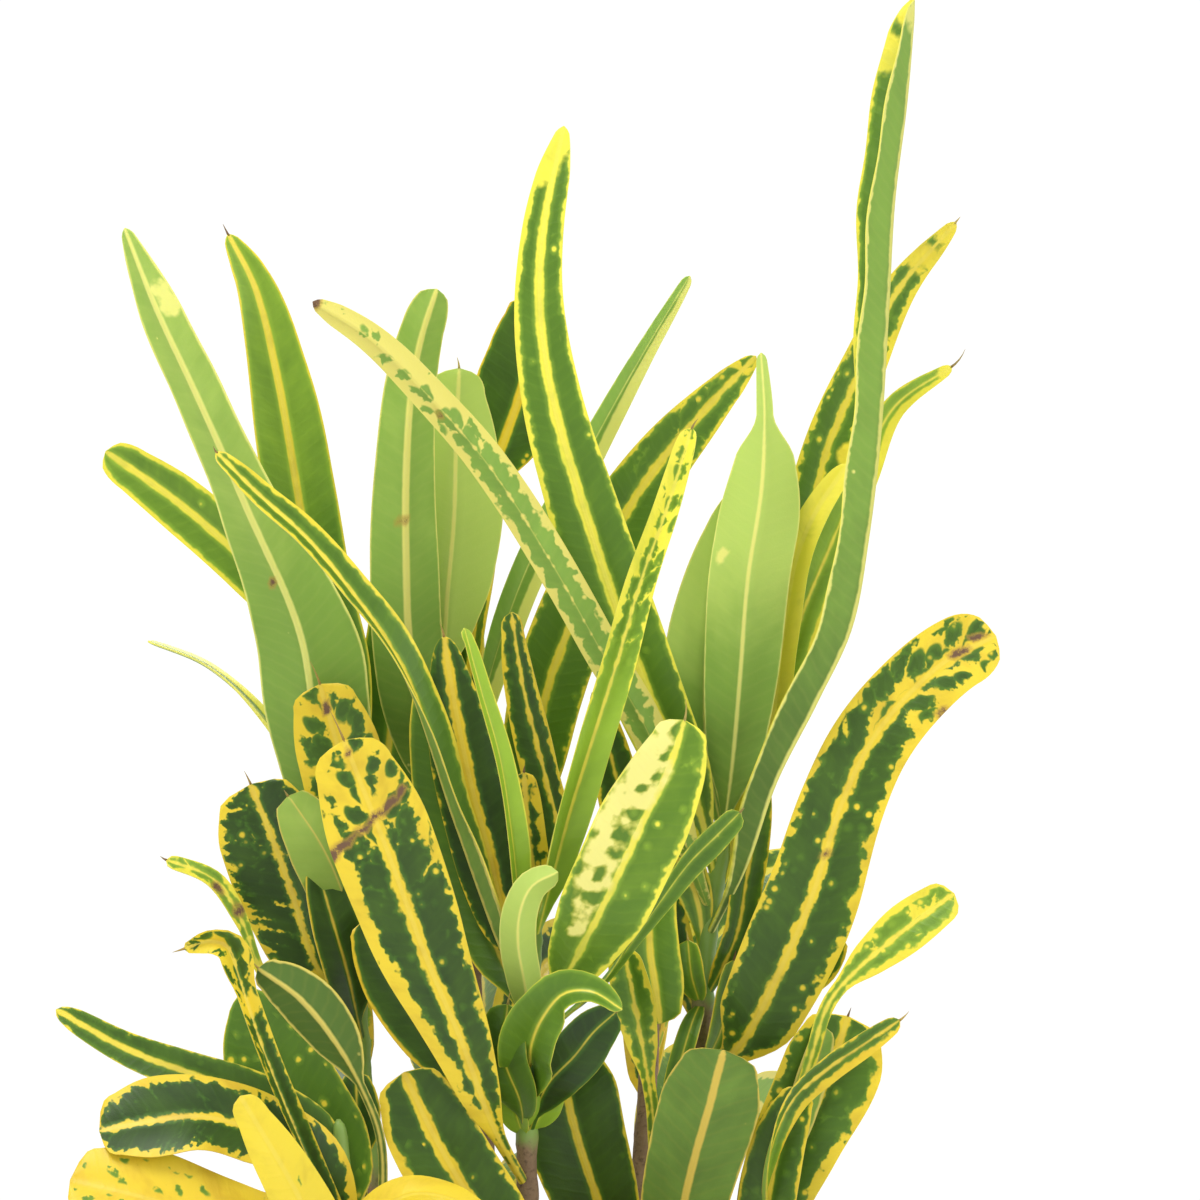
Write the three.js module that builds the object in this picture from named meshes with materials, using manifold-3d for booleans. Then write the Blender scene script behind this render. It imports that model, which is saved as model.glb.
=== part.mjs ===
// A potted croton (Codiaeum variegatum): seven leafy shoots rooted in one plain nursery pot.
// Millimetres, +Z up. The origin is the middle of the pot's underside, and -Y is the plant's front.
// Each shoot is one grown piece: a stem with its leaves, and every leaf runs from the stem's core
// along its own midrib. The shoots stand in plain holes in the soil, clear of each other.
import * as THREE from "three";
import { mergeVertices } from "three/addons/utils/BufferGeometryUtils.js";
import Module from "manifold-3d";

const wasm = await Module();
wasm.setup();

// ---- Driving dimensions -------------------------------------------------------------------------
const POT_HEIGHT = 130;
const POT_BASE_RADIUS = 54;
const POT_RIM_RADIUS = 76;
const POT_WALL = 2.4;
const POT_FLOOR = 3;
const COLLAR_HEIGHT = 20;
const COLLAR_STEP = 2.6;
const FOOT_BEVEL = 2;
const RIM_BEVEL = 1;
const POT_SIDES = 36;
const DRAIN_COUNT = 6;
const DRAIN_RADIUS = 5;
const DRAIN_CIRCLE_RADIUS = 38;
const DRAIN_SIDES = 8;

const SOIL_TOP = 116;
// The soil is heaped a little: share of its radius, and lift, from the outside in.
const SOIL_MOUND = [[0.72, 2.8], [0.35, 4], [0, 4]];
const SOCKET_DEPTH = 2;
const FIT_GAP = 0.35;

const STEM_SIDES = 7;
const STEM_STEPS = 9;
const PETIOLE_WIDTH = 2.4;
const PETIOLE_THICKNESS = 2;
const PETIOLE_SHARE = 0.3;
const BLADE_THICKNESS = 0.8;
const MARGIN_THINNING = 0.8;
const FOLD_ONSET = 4;
const ARCH_STEPS = 5;
const HALVINGS = 30;

// The front leaves are stated as they stand when seen from the front, level with the crown's middle.
const EYE = new THREE.Vector3(10, -1500, 340);

// ---- Leaf outlines: share of the length, share of the full width --------------------------------
const OUTLINES = {
  strap: [[0, 0], [0.07, 0], [0.17, 0.55], [0.34, 0.9], [0.58, 1], [0.8, 0.8], [0.93, 0.48], [1, 0.05]],
  ribbon: [[0, 0], [0.06, 0.1], [0.16, 0.6], [0.34, 0.95], [0.6, 1], [0.84, 0.82], [0.96, 0.5], [1, 0.1]],
  whip: [[0, 0], [0.06, 0.1], [0.18, 0.8], [0.38, 1], [0.6, 0.82], [0.8, 0.56], [0.93, 0.38], [1, 0.06]],
  lance: [[0, 0], [0.08, 0], [0.18, 0.5], [0.32, 0.92], [0.48, 1], [0.7, 0.74], [0.88, 0.36], [1, 0.04]],
  sword: [[0, 0], [0.07, 0.1], [0.2, 0.72], [0.4, 1], [0.62, 0.98], [0.82, 0.7], [0.93, 0.38], [1, 0.04]],
  taper: [[0, 0], [0.07, 0.25], [0.16, 0.88], [0.3, 1], [0.45, 0.75], [0.62, 0.47], [0.86, 0.36], [1, 0.05]],
  paddle: [[0, 0], [0.1, 0], [0.24, 0.42], [0.44, 0.74], [0.66, 0.92], [0.84, 1], [0.95, 0.76], [1, 0.12]],
  club: [[0, 0], [0.14, 0.04], [0.26, 0.34], [0.44, 0.66], [0.64, 0.94], [0.8, 1], [0.94, 0.74], [1, 0.12]],
  broad: [[0, 0], [0.08, 0.08], [0.2, 0.46], [0.4, 0.84], [0.6, 1], [0.8, 0.98], [0.94, 0.72], [1, 0.12]],
  oval: [[0, 0], [0.14, 0], [0.3, 0.62], [0.5, 0.97], [0.68, 1], [0.84, 0.84], [0.95, 0.54], [1, 0.08]],
  waisted: [[0, 0], [0.08, 0.1], [0.19, 0.84], [0.36, 1], [0.54, 0.9], [0.78, 0.8], [0.93, 0.74], [1, 0.12]],
  tailed: [[0, 0], [0.09, 0], [0.22, 0.62], [0.44, 0.94], [0.66, 1], [0.8, 0.68], [0.88, 0.1], [1, 0.16]],
  spoon: [[0, 0], [0.2, 0], [0.42, 0.1], [0.58, 0.12], [0.7, 0.66], [0.84, 1], [0.94, 0.84], [1, 0.12]],
  blunt: [[0, 0], [0.06, 0.15], [0.16, 0.78], [0.3, 1], [0.52, 0.95], [0.76, 0.74], [0.93, 0.54], [1, 0.12]],
  band: [[0, 0], [0.06, 0.1], [0.16, 0.55], [0.34, 0.84], [0.6, 0.94], [0.84, 1], [0.96, 0.64], [1, 0.1]],
  stalked: [[0, 0], [0.59, 0], [0.65, 0.42], [0.73, 0.86], [0.82, 1], [0.91, 0.8], [0.97, 0.46], [1, 0.06]],
  rounded: [[0, 0], [0.27, 0.02], [0.38, 0.5], [0.53, 0.9], [0.67, 1], [0.82, 0.84], [0.94, 0.5], [1, 0.08]],
  flag: [[0, 0], [0.08, 0.3], [0.3, 0.6], [0.6, 0.6], [0.76, 0.55], [0.85, 1], [0.93, 0.62], [1, 0.05]],
};

// ---- Shoots -------------------------------------------------------------------------------------
// stem: places its core passes through, from the root up. girth: radius at the root and at the crown.
// leaves: name, outline, width, fold in degrees, way its upper side faces at the base and at the tip
//   (degrees from the front towards the right) and how far that is tilted up, height on the stem, and
//   the places that the midrib passes through on its way to the tip.
// arching: outline, width, fold, height on the stem, heading (degrees from the front towards the
//   right), length, rise at the base and at the tip in degrees, and roll about the midrib in degrees.
const SHOOTS = {
  shoot_left: {
    stem: [[-28, 6, 92], [-40, 8, 150], [-48, 10, 205], [-51, 10, 245], [-53, 9, 284]],
    girth: [3.2, 1.6],
    leaves: [
      ["left_tall", "taper", 29, 16, [168, 160], 0, 270,
        [[-60.5, 2, 306], [-65, -4, 332], [-78, -14, 362.5], [-91.1, -22, 392], [-100.4, -26, 412],
        [-108.8, -27, 433]]],
      ["left_second", "sword", 20, 18, [10, 20], 0, 280,
        [[-55.5, 22, 320], [-61, 26, 340], [-66.2, 26, 370], [-70.8, 25, 396], [-76.3, 23, 418],
        [-83, 22, 431.5]]],
      ["left_fan", "club", 15, 15, [-15, -20], 15, 262,
        [[-60, 22, 312], [-64.5, 27, 333], [-76.8, 29, 347.6], [-94.2, 29, 363.4], [-113.6, 28, 377.2]]],
      ["left_spotted", "broad", 22, 10, [0, -10], 10, 240,
        [[-48, -4, 263], [-52, -10, 290], [-60, -11, 319]]],
      ["left_small", "oval", 17, 12, [195, 200], 0, 252,
        [[-55, -10, 268], [-60, -16, 279], [-68, -18, 291]]],
      ["left_broad", "broad", 27, 10, [-10, -15], 10, 238,
        [[-60, 2, 247], [-67.3, -2, 268], [-72.5, -4, 282], [-77.3, -4, 294]]],
      ["left_inner", "oval", 14, 14, [20, 30], 5, 228, [[-53, -5, 246], [-57, -10, 260], [-61, -12, 274]]],
      ["left_behind", "sword", 20, 14, [-10, -10], 0, 246,
        [[-45, 24, 288], [-42, 30, 310], [-41, 32, 332], [-42, 33, 352]]],
      ["left_whisker", "strap", 7, 16, [0, 0], 82, 256,
        [[-60, 20, 287], [-74, 26, 310.3], [-88, 28, 323.4], [-103, 28, 329.7]]],
      ["left_spoon", "spoon", 5, 10, [0, 0], 40, 230,
        [[-62, -3, 236], [-74, -8, 246], [-79.5, -10, 259.5], [-86.5, -10, 270], [-98.5, -10, 275]]],
    ],
    arching: [
      ["paddle", 24, 12, 150, 226, 112, 30, -30, 12],
      ["paddle", 21, 12, 152, 286, 88, 24, -34, -14],
      ["strap", 19, 12, 170, 202, 118, 44, -14, -30],
      ["strap", 18, 12, 162, 240, 88, 38, -28, 20],
      ["paddle", 22, 12, 196, 204, 84, 46, -12, 30],
      ["strap", 17, 12, 212, 198, 98, 54, 0, -36],
      ["lance", 18, 14, 228, 206, 90, 60, 10, 34],
      ["oval", 18, 12, 246, 186, 88, 62, 18, -40],
      ["strap", 16, 14, 134, 258, 98, 20, -34, 8],
    ],
  },
  shoot_left_low: {
    stem: [[-30, -20, 92], [-42, -27, 140], [-50, -31, 180], [-54, -32, 213]],
    girth: [3.2, 1.8],
    leaves: [
      ["low_strap", "whip", 12.5, 12, [-5, -10], 25, 196,
        [[-60, -32, 206], [-73, -33, 214.2], [-92, -32, 221.4], [-108, -31, 227.5], [-126, -30, 237.6]]],
      ["low_lobe", "sword", 28.5, 8, [-20, -20], 10, 184,
        [[-55.5, -26, 194], [-64.5, -22, 211], [-72.5, -19, 226], [-78.5, -17, 243]]],
      ["low_pale", "stalked", 15, 14, [165, 160], 0, 168,
        [[-44.5, -31, 190], [-45, -34, 206], [-49.5, -38, 218], [-56, -42, 229.5], [-65, -44, 240.5],
        [-75.5, -44, 248]]],
      ["low_dark", "stalked", 12, 10, [0, 0], 5, 170, [[-49, -21, 187], [-50.5, -20, 205], [-51, -19, 222]]],
      ["low_flag", "flag", 12, 48, [60, 10], 0, 178,
        [[-63, -42, 200], [-74.4, -46, 228], [-80.4, -46, 246], [-83, -46, 253.2], [-87.4, -46, 254.7],
        [-94, -45, 252.8]]],
      ["low_scalloped", "paddle", 22.5, 12, [-5, -5], 35, 172,
        [[-62, -40, 200], [-77, -43, 207.6], [-90, -45, 210.8], [-103, -46, 209.4], [-115.2, -46, 207.2]]],
      ["low_yellow_wide", "paddle", 25, 10, [0, 0], 35, 152,
        [[-60, -46, 176], [-80, -52, 182.8], [-104, -54, 190.5], [-122.5, -53, 195]]],
      ["low_yellow_up", "strap", 15, 10, [10, 5], 10, 146,
        [[-58, -54, 176], [-67, -59, 194], [-74, -60, 206], [-80, -60, 216]]],
      ["low_yellow_front", "strap", 16, 12, [10, 10], 60, 134,
        [[-50, -52, 168], [-47, -58, 184], [-38, -61, 191], [-27, -61, 190], [-17, -60, 184]]],
    ],
    arching: [
      ["paddle", 23, 12, 136, 300, 96, 24, -30, 10],
      ["strap", 18, 12, 126, 328, 94, 24, -34, -16],
      ["paddle", 20, 12, 122, 272, 90, 26, -30, 14],
    ],
  },
  shoot_centre: {
    stem: [[-2, -10, 92], [-5, -18, 150], [-8, -22, 200], [-7, -22, 240], [-6, -22, 264]],
    girth: [3.9, 1.9],
    leaves: [
      ["front_spotted", "club", 26, 10, [-10, -15], 15, 195,
        [[-17, -36, 209], [-24, -42, 228], [-34, -46, 252], [-43, -49, 277], [-54, -50, 305]]],
      ["long_folded", "whip", 15, 34, [110, 25], 0, 238,
        [[-16, -29, 258], [-26, -33, 285], [-39, -36, 322], [-53, -36, 343], [-65, -35, 357],
        [-75, -34, 366], [-86, -32, 377]]],
      ["front_lower", "broad", 23, 10, [-10, -15], 15, 154,
        [[-14, -31, 178], [-24, -33, 193], [-32, -33, 207], [-39, -32, 222]]],
      ["recurved", "lance", 17, 30, [-20, 20], 25, 214,
        [[-7.5, -33, 222], [-7, -40, 229], [-4, -46, 236], [1, -50, 241.5], [8, -53, 242],
        [15.5, -54, 237.5]]],
      ["recurved_back", "oval", 14, 14, [-30, -20], 0, 208,
        [[-10, -31, 215], [-14, -36, 226], [-13, -39, 239]]],
      ["sheath_left", "oval", 9, 24, [-30, -30], 0, 206, [[-11, -26, 212], [-12, -28, 221]]],
      ["sheath_right", "oval", 9, 24, [30, 30], 0, 208, [[-4, -27, 213], [-2, -30, 222]]],
      ["recurved_right", "oval", 13.5, 14, [10, 10], 5, 208,
        [[-3, -33, 219], [3.6, -37, 226], [8.4, -39, 232], [14, -40, 237]]],
      ["lime_hook", "ribbon", 10, 26, [182, 180], 0, 236,
        [[-9, -36, 245], [-10.5, -40, 254], [-10, -42, 262], [-7, -43, 268.5], [-0.5, -44, 272]]],
      ["front_pale", "oval", 23, 12, [10, 10], 10, 232,
        [[2, -34, 247], [11, -42, 264], [20, -46, 283], [28, -48, 300], [31.2, -48, 310]]],
      ["thin_twist", "paddle", 8, 20, [90, 25], 0, 230,
        [[10, -27, 244], [21, -33, 259], [32, -37, 274], [39, -38, 281], [45, -38, 287]]],
      ["lime_strap", "whip", 9, 44, [45, 35], 0, 250,
        [[-10, -29, 262], [-12, -33, 280], [-15, -35, 300], [-20, -37, 318], [-24, -38, 333]]],
      ["dark_centre", "sword", 18, 12, [-10, -10], 5, 244,
        [[-14, -19, 262], [-17.5, -20, 276], [-22.5, -22, 295], [-26.5, -24, 315], [-29, -26, 331]]],
      ["dark_right", "strap", 12, 22, [-40, -30], 0, 256,
        [[0, -15, 278], [-4, -12, 298], [-9, -12, 318], [-12, -13, 337]]],
      ["centre_scrap", "oval", 9, 14, [0, 0], 0, 252, [[-6, -18, 268], [-8, -20, 282], [-9, -21, 297]]],
      ["centre_behind", "sword", 18, 12, [-10, -10], 0, 236,
        [[-16, -14, 254], [-24, -8, 275], [-30, -4, 300], [-34, -2, 322]]],
      ["tall_blade", "blunt", 12, 42, [40, -15], 0, 256,
        [[-3, -28, 268], [2, -34, 286], [8, -37, 305], [14.4, -38, 325], [20.3, -38, 345], [26.5, -38, 362],
        [33, -37, 383]]],
      ["inner_olive", "oval", 17, 12, [0, 0], 10, 212,
        [[-19, -20, 220], [-30, -17, 229], [-41, -14, 244], [-49, -13, 260]]],
    ],
    arching: [
      ["strap", 18, 12, 138, 336, 92, 34, -30, 16],
      ["paddle", 22, 12, 150, 6, 86, 36, -28, -10],
      ["strap", 17, 12, 128, 22, 86, 26, -34, -18],
      ["paddle", 19, 12, 164, 348, 60, 40, -18, 12],
      ["paddle", 20, 12, 160, 40, 66, 34, -26, -20],
    ],
  },
  shoot_back: {
    stem: [[-10, 22, 92], [-16, 28, 160], [-22, 32, 230], [-25, 32, 302]],
    girth: [4.1, 1.9],
    leaves: [
      ["dark_back", "stalked", 24, 12, [-10, -10], 0, 292,
        [[-27, 36, 318], [-25.5, 38, 342], [-20, 37, 364], [-13.5, 35, 381], [-8.5, 33, 397], [-7, 31, 416]]],
      ["grey_back", "lance", 10, 22, [160, 165], 0, 288,
        [[-17, 28, 322], [-8, 26, 348], [2.5, 23, 368], [13.2, 21, 388], [22.3, 20, 404], [32.5, 18, 421]]],
      ["dark_diagonal", "sword", 19, 12, [0, 5], 5, 262,
        [[-9, 22, 292], [-3.3, 16, 317], [3.8, 12, 336.7], [14.1, 9, 357.7], [25.2, 7, 374.7],
        [36.2, 5, 387.5], [49, 3, 401]]],
      ["pale_tall", "blunt", 19, 16, [190, 195], 0, 284,
        [[-32.5, 16, 303], [-37.5, 6, 328], [-38.5, 0, 350], [-38.5, -3, 372], [-37.2, -5, 392],
        [-34.6, -7, 406], [-30.8, -8, 417.8]]],
      ["pale_broad", "rounded", 28, 20, [192, 188], 0, 292,
        [[-29, 22, 314], [-28.6, 14, 336], [-26.6, 11, 360], [-26, 10, 380], [-25.2, 9, 398]]],
    ],
    arching: [
      ["paddle", 23, 12, 148, 206, 118, 28, -32, 10],
      ["strap", 18, 12, 166, 170, 116, 42, -20, -34],
      ["paddle", 22, 12, 184, 192, 104, 46, -16, 30],
      ["strap", 18, 12, 196, 182, 120, 50, -8, -38],
      ["oval", 19, 12, 212, 156, 98, 50, -6, 42],
      ["strap", 18, 14, 226, 202, 112, 56, 2, -30],
      ["lance", 18, 12, 244, 168, 108, 60, 8, 44],
      ["oval", 19, 12, 260, 206, 92, 64, 14, 36],
      ["sword", 17, 14, 274, 182, 110, 70, 28, -42],
      ["lance", 16, 14, 288, 194, 104, 78, 52, 40],
      ["strap", 15, 14, 294, 162, 92, 80, 60, -36],
    ],
  },
  shoot_right: {
    stem: [[22, 0, 92], [28, -2, 150], [35, -5, 230], [37, -6, 258], [41, -6, 282]],
    girth: [4.1, 2.2],
    leaves: [
      ["tall_strap", "band", 20, 50, [-128, -66], 0, 256,
        [[46, -20, 274], [53.5, -27, 295], [63.9, -31, 315], [72.3, -31, 333], [76.6, -30, 356],
        [79.6, -28, 382], [81.5, -25, 412], [83.1, -22, 440], [86.2, -18, 465], [88.4, -14, 491]]],
      ["yellow_diagonal", "ribbon", 10, 14, [172, 165], 0, 262,
        [[32, -20, 278], [23, -27, 305], [10, -29, 328], [-3, -29, 351], [-18, -29, 374],
        [-32.7, -29, 391], [-47.5, -28, 405.5], [-61.8, -26, 414.6]]],
      ["tall_banded", "whip", 19.5, 12, [-5, -10], 0, 270,
        [[34, -13, 290], [27, -17, 305], [20, -19, 322], [13, -19, 341], [5, -19, 366], [-1.8, -19, 390],
        [-5, -18, 413], [-4.2, -17, 432], [1, -15, 458.5]]],
      ["lime_tailed", "tailed", 21, 14, [176, 170], 0, 274,
        [[43, -14, 298], [45, -17, 320], [47, -18, 345], [50.5, -17, 368], [51.2, -15, 386],
        [50.3, -12, 401.8]]],
      ["lime_behind", "lance", 21, 14, [196, 200], 0, 280,
        [[36.5, -6, 302], [36.3, -7, 325], [38.8, -7, 348], [44, -7, 368]]],
      ["right_variegated", "sword", 14.2, 14, [-15, 30], 0, 276,
        [[50, 2, 310], [57.5, 7, 340], [66.3, 8, 376], [75.2, 8, 398], [84.5, 6, 417.5], [99, 4, 434.5]]],
      ["right_green", "lance", 12.5, 18, [-10, 10], 0, 268,
        [[52, -4, 305], [60.5, -5, 336], [67.4, -7, 353], [75.4, -8, 371.4], [83.6, -9, 388.3],
        [98, -10, 398.4]]],
      ["right_ochre", "ribbon", 9, 20, [-6, -12], 0, 264,
        [[52, -6, 305], [55.5, -8, 330], [59, -10, 350], [64, -12, 362], [72, -13, 374]]],
      ["right_spotted", "waisted", 24, 10, [5, 5], 12, 220,
        [[45.5, -15, 229.5], [54.1, -19, 245.5], [63, -22, 266], [70.3, -23, 288.8], [77.4, -23, 304],
        [86.6, -22, 315.8], [97.2, -20, 325.2], [109, -18, 331]]],
      ["right_inner", "strap", 9, 16, [20, 25], 0, 240,
        [[44, -12, 256], [46.5, -14, 270], [49.1, -14, 284], [50.6, -13, 297]]],
      ["right_hidden", "stalked", 11, 12, [0, 0], 15, 220,
        [[50, -9, 236], [61, -11, 245], [70.5, -12, 256]]],
      ["middle_broad", "paddle", 15, 12, [0, 5], 0, 246,
        [[34, -9, 266], [28, -13, 276], [23, -15, 268], [22.5, -16, 253], [24, -16, 242], [25, -15, 234]]],
      ["middle_twist", "spoon", 11, 20, [60, -20], 0, 180,
        [[24, -16, 198], [23, -21, 213], [21, -23, 226], [18.5, -24, 240], [16, -25, 253]]],
      ["stub_left", "oval", 8, 20, [-20, -20], 0, 238, [[33, -12, 246], [32, -14, 255]]],
      ["stub_right", "oval", 9, 20, [30, 30], 0, 222, [[40, -10, 232], [43.5, -11, 250]]],
      ["middle_back", "sword", 13, 12, [10, 10], 0, 232,
        [[25, -5, 262], [16, -4, 288], [9, -4, 318]]],
      ["crown_sliver", "strap", 6, 14, [-20, -20], 0, 240,
        [[33, -12, 234], [29.5, -15, 222], [26.5, -17, 210]]],
      ["front_olive", "paddle", 25, 12, [178, 178], 0, 150,
        [[28, -22, 168], [30.5, -33, 187], [33.5, -38, 200], [37.2, -41, 213], [41, -42, 227.5]]],
      ["behind_lower", "paddle", 27, 10, [-10, -10], 5, 160,
        [[13.5, -4, 180], [7.8, -7, 195], [3.2, -9, 210], [-0.6, -10, 228]]],
    ],
    arching: [
      ["paddle", 22, 12, 124, 100, 92, 20, -34, 10],
      ["strap", 17, 12, 132, 74, 88, 22, -34, -14],
      ["paddle", 20, 12, 146, 122, 92, 26, -34, 22],
    ],
  },
  shoot_right_low: {
    stem: [[32, -14, 92], [42, -22, 140], [50, -27, 180], [54, -29, 210]],
    girth: [3.2, 1.8],
    leaves: [
      ["right_spoon", "spoon", 12.5, 12, [0, 0], 15, 198,
        [[62.5, -33, 224.5], [68, -36, 240.5], [84, -38, 255.8], [98.6, -38, 266.6]]],
      ["low_right_spotted", "paddle", 25, 12, [5, 5], 10, 160,
        [[52.5, -27, 188], [59.2, -27, 205], [67, -27, 221], [72, -27, 236]]],
      ["low_right_twist", "ribbon", 8, 30, [90, 0], 0, 184,
        [[52, -36, 200], [58, -40, 215], [67, -42, 223], [76, -43, 229], [85, -43, 235]]],
      ["low_right_small", "oval", 8, 12, [180, 180], 0, 192, [[62, -30, 217], [66.5, -31, 233]]],
      ["low_right_dark", "oval", 15, 12, [-15, -15], 10, 152,
        [[51, -31, 184], [55, -34, 204], [60.5, -35, 218]]],
    ],
    arching: [
      ["strap", 18, 12, 134, 54, 86, 24, -32, -12],
      ["paddle", 21, 12, 126, 28, 84, 24, -34, 10],
      ["strap", 17, 12, 140, 4, 70, 30, -28, 18],
    ],
  },
  shoot_rear: {
    stem: [[12, 24, 92], [17, 34, 150], [22.5, 40, 220], [25, 42, 290]],
    girth: [3.8, 1.8],
    leaves: [],
    arching: [
      ["paddle", 24, 12, 140, 146, 104, 24, -34, 14],
      ["strap", 19, 12, 150, 178, 108, 34, -26, -24],
      ["paddle", 21, 12, 160, 118, 92, 30, -30, 30],
      ["paddle", 23, 12, 176, 154, 106, 44, -18, -34],
      ["strap", 18, 12, 190, 162, 84, 46, -14, 38],
      ["strap", 18, 12, 204, 176, 108, 52, -6, -40],
      ["oval", 20, 12, 220, 150, 98, 54, -2, 44],
      ["lance", 17, 12, 236, 126, 76, 58, 2, 34],
      ["lance", 18, 12, 248, 172, 102, 62, 10, -44],
      ["strap", 16, 14, 262, 146, 92, 68, 24, 40],
      ["sword", 16, 14, 274, 152, 92, 74, 40, -38],
    ],
  },
};

// ---- Geometry helpers ---------------------------------------------------------------------------
const radians = THREE.MathUtils.degToRad;
const vector = ([x, y, z]) => new THREE.Vector3(x, y, z);

// A place stated as it is seen from EYE in the plane y = 0, moved along that sight line to its depth.
function inDepth([x, y, z]) {
  const reach = (y - EYE.y) / -EYE.y;
  return new THREE.Vector3(EYE.x + (x - EYE.x) * reach, y, EYE.z + (z - EYE.z) * reach);
}

function closedSolid(positions, triangles) {
  return new wasm.Manifold(new wasm.Mesh({ numProp: 3, vertProperties: positions, triVerts: triangles }));
}

// A closed solid from a row of rings with the same number of points each.
function loft(rings) {
  const sides = rings[0].length;
  const positions = rings.flat().flatMap((p) => [p.x, p.y, p.z]);
  const faces = [];
  for (let r = 0; r + 1 < rings.length; r++) {
    for (let i = 0; i < sides; i++) {
      const a = r * sides + i;
      const b = r * sides + ((i + 1) % sides);
      faces.push(a, b, b + sides, a, b + sides, a + sides);
    }
  }
  const last = (rings.length - 1) * sides;
  for (let i = 1; i + 1 < sides; i++) {
    faces.push(0, i + 1, i, last, last + i, last + i + 1);
  }
  const made = closedSolid(new Float32Array(positions), new Uint32Array(faces));
  // Rings that run the other way round come out inside out, and are turned the right way.
  if (made.volume() > 0) return made;
  return closedSolid(new Float32Array(positions), new Uint32Array(faces.reverse()));
}

function solidOf(geometry) {
  geometry.deleteAttribute("normal");
  geometry.deleteAttribute("uv");
  const merged = mergeVertices(geometry, 1e-4);
  return closedSolid(merged.attributes.position.array, new Uint32Array(merged.index.array));
}

function geometryOf(solid) {
  const { vertProperties, triVerts } = solid.getMesh();
  const geometry = new THREE.BufferGeometry();
  geometry.setAttribute("position", new THREE.BufferAttribute(vertProperties, 3));
  geometry.setIndex(new THREE.BufferAttribute(triVerts, 1));
  geometry.computeVertexNormals();
  return geometry;
}

// ---- Leaves -------------------------------------------------------------------------------------
// The direction that a leaf's upper side faces: degrees from the front towards the right, and tilt.
function facing(degrees, tilt) {
  const level = Math.cos(radians(tilt));
  return new THREE.Vector3(
    Math.sin(radians(degrees)) * level,
    -Math.cos(radians(degrees)) * level,
    Math.sin(radians(tilt)),
  );
}

// A thin folded blade with its stalk, along a midrib curve. up(share) is the way its upper side faces.
function blade(curve, outline, width, fold, up) {
  const rings = OUTLINES[outline].map(([share, spread]) => {
    const centre = curve.getPointAt(share);
    const along = curve.getTangentAt(share);
    const normal = up(share).addScaledVector(along, -up(share).dot(along)).normalize();
    const side = new THREE.Vector3().crossVectors(along, normal);
    const half = PETIOLE_WIDTH / 2 + ((width - PETIOLE_WIDTH) / 2) * spread;
    const thinned = Math.min(1, share / PETIOLE_SHARE);
    const thick = THREE.MathUtils.lerp(PETIOLE_THICKNESS, BLADE_THICKNESS, thinned) / 2;
    const margin = thick * MARGIN_THINNING;
    const bend = radians(fold) * Math.min(1, spread * FOLD_ONSET);
    const place = (across, lift) =>
      centre
        .clone()
        .addScaledVector(side, across * Math.cos(bend))
        .addScaledVector(normal, Math.abs(across) * Math.sin(bend) + lift);
    return [
      place(-half, margin), place(0, thick), place(half, margin),
      place(half, -margin), place(0, -thick), place(-half, -margin),
    ];
  });
  return loft(rings);
}

function placedLeaf(stem, [, outline, width, fold, [atBase, atTip], tilt, height, places]) {
  const curve = new THREE.CatmullRomCurve3([stemAt(stem, height), ...places.map(inDepth)]);
  return blade(curve, outline, width, fold, (share) =>
    facing(THREE.MathUtils.lerp(atBase, atTip, share), tilt),
  );
}

function archingLeaf(stem, [outline, width, fold, height, heading, length, riseAtBase, riseAtTip, roll]) {
  const outward = facing(heading, 0);
  const points = [stemAt(stem, height)];
  const step = length / ARCH_STEPS;
  for (let i = 0; i < ARCH_STEPS; i++) {
    const rise = radians(THREE.MathUtils.lerp(riseAtBase, riseAtTip, i / (ARCH_STEPS - 1)));
    const level = outward.clone().multiplyScalar(step * Math.cos(rise));
    const lift = new THREE.Vector3(0, 0, step * Math.sin(rise));
    points.push(points[i].clone().add(level).add(lift));
  }
  const up = outward.clone().negate().add(new THREE.Vector3(0, 0, 1)).normalize();
  up.applyAxisAngle(points[ARCH_STEPS].clone().sub(points[0]).normalize(), radians(roll));
  return blade(new THREE.CatmullRomCurve3(points), outline, width, fold, () => up.clone());
}

// ---- Stems --------------------------------------------------------------------------------------
const stemCurve = (stem) => new THREE.CatmullRomCurve3(stem.map(vector));

// The place on the stem's core at a height.
function stemAt(stem, height) {
  const curve = stemCurve(stem);
  let low = 0;
  let high = 1;
  for (let i = 0; i < HALVINGS; i++) {
    const middle = (low + high) / 2;
    if (curve.getPointAt(middle).z < height) low = middle;
    else high = middle;
  }
  return curve.getPointAt(low);
}

// A tapering stem, or with extra radius the hole that it stands in.
function stemSolid(stem, [rootRadius, crownRadius], extra = 0) {
  const curve = stemCurve(stem);
  const rings = [];
  for (let s = 0; s <= STEM_STEPS; s++) {
    const centre = curve.getPointAt(s / STEM_STEPS);
    const radius = THREE.MathUtils.lerp(rootRadius, crownRadius, s / STEM_STEPS) + extra;
    rings.push(
      Array.from({ length: STEM_SIDES }, (_, i) => {
        const angle = (2 * Math.PI * i) / STEM_SIDES;
        return centre.clone().add(new THREE.Vector3(Math.cos(angle) * radius, Math.sin(angle) * radius, 0));
      }),
    );
  }
  return loft(rings);
}

function shootSolid({ stem, girth, leaves, arching }) {
  const parts = [
    stemSolid(stem, girth),
    ...leaves.map((row) => placedLeaf(stem, row)),
    ...arching.map((row) => archingLeaf(stem, row)),
  ];
  return parts.reduce((whole, part) => whole.add(part));
}

// ---- Pot and soil -------------------------------------------------------------------------------
const POT_FLARE = (POT_RIM_RADIUS - COLLAR_STEP - POT_BASE_RADIUS) / POT_HEIGHT;
const outerRadiusAt = (z) => POT_BASE_RADIUS + POT_FLARE * z;
const innerRadiusAt = (z) => outerRadiusAt(z) - POT_WALL;

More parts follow.
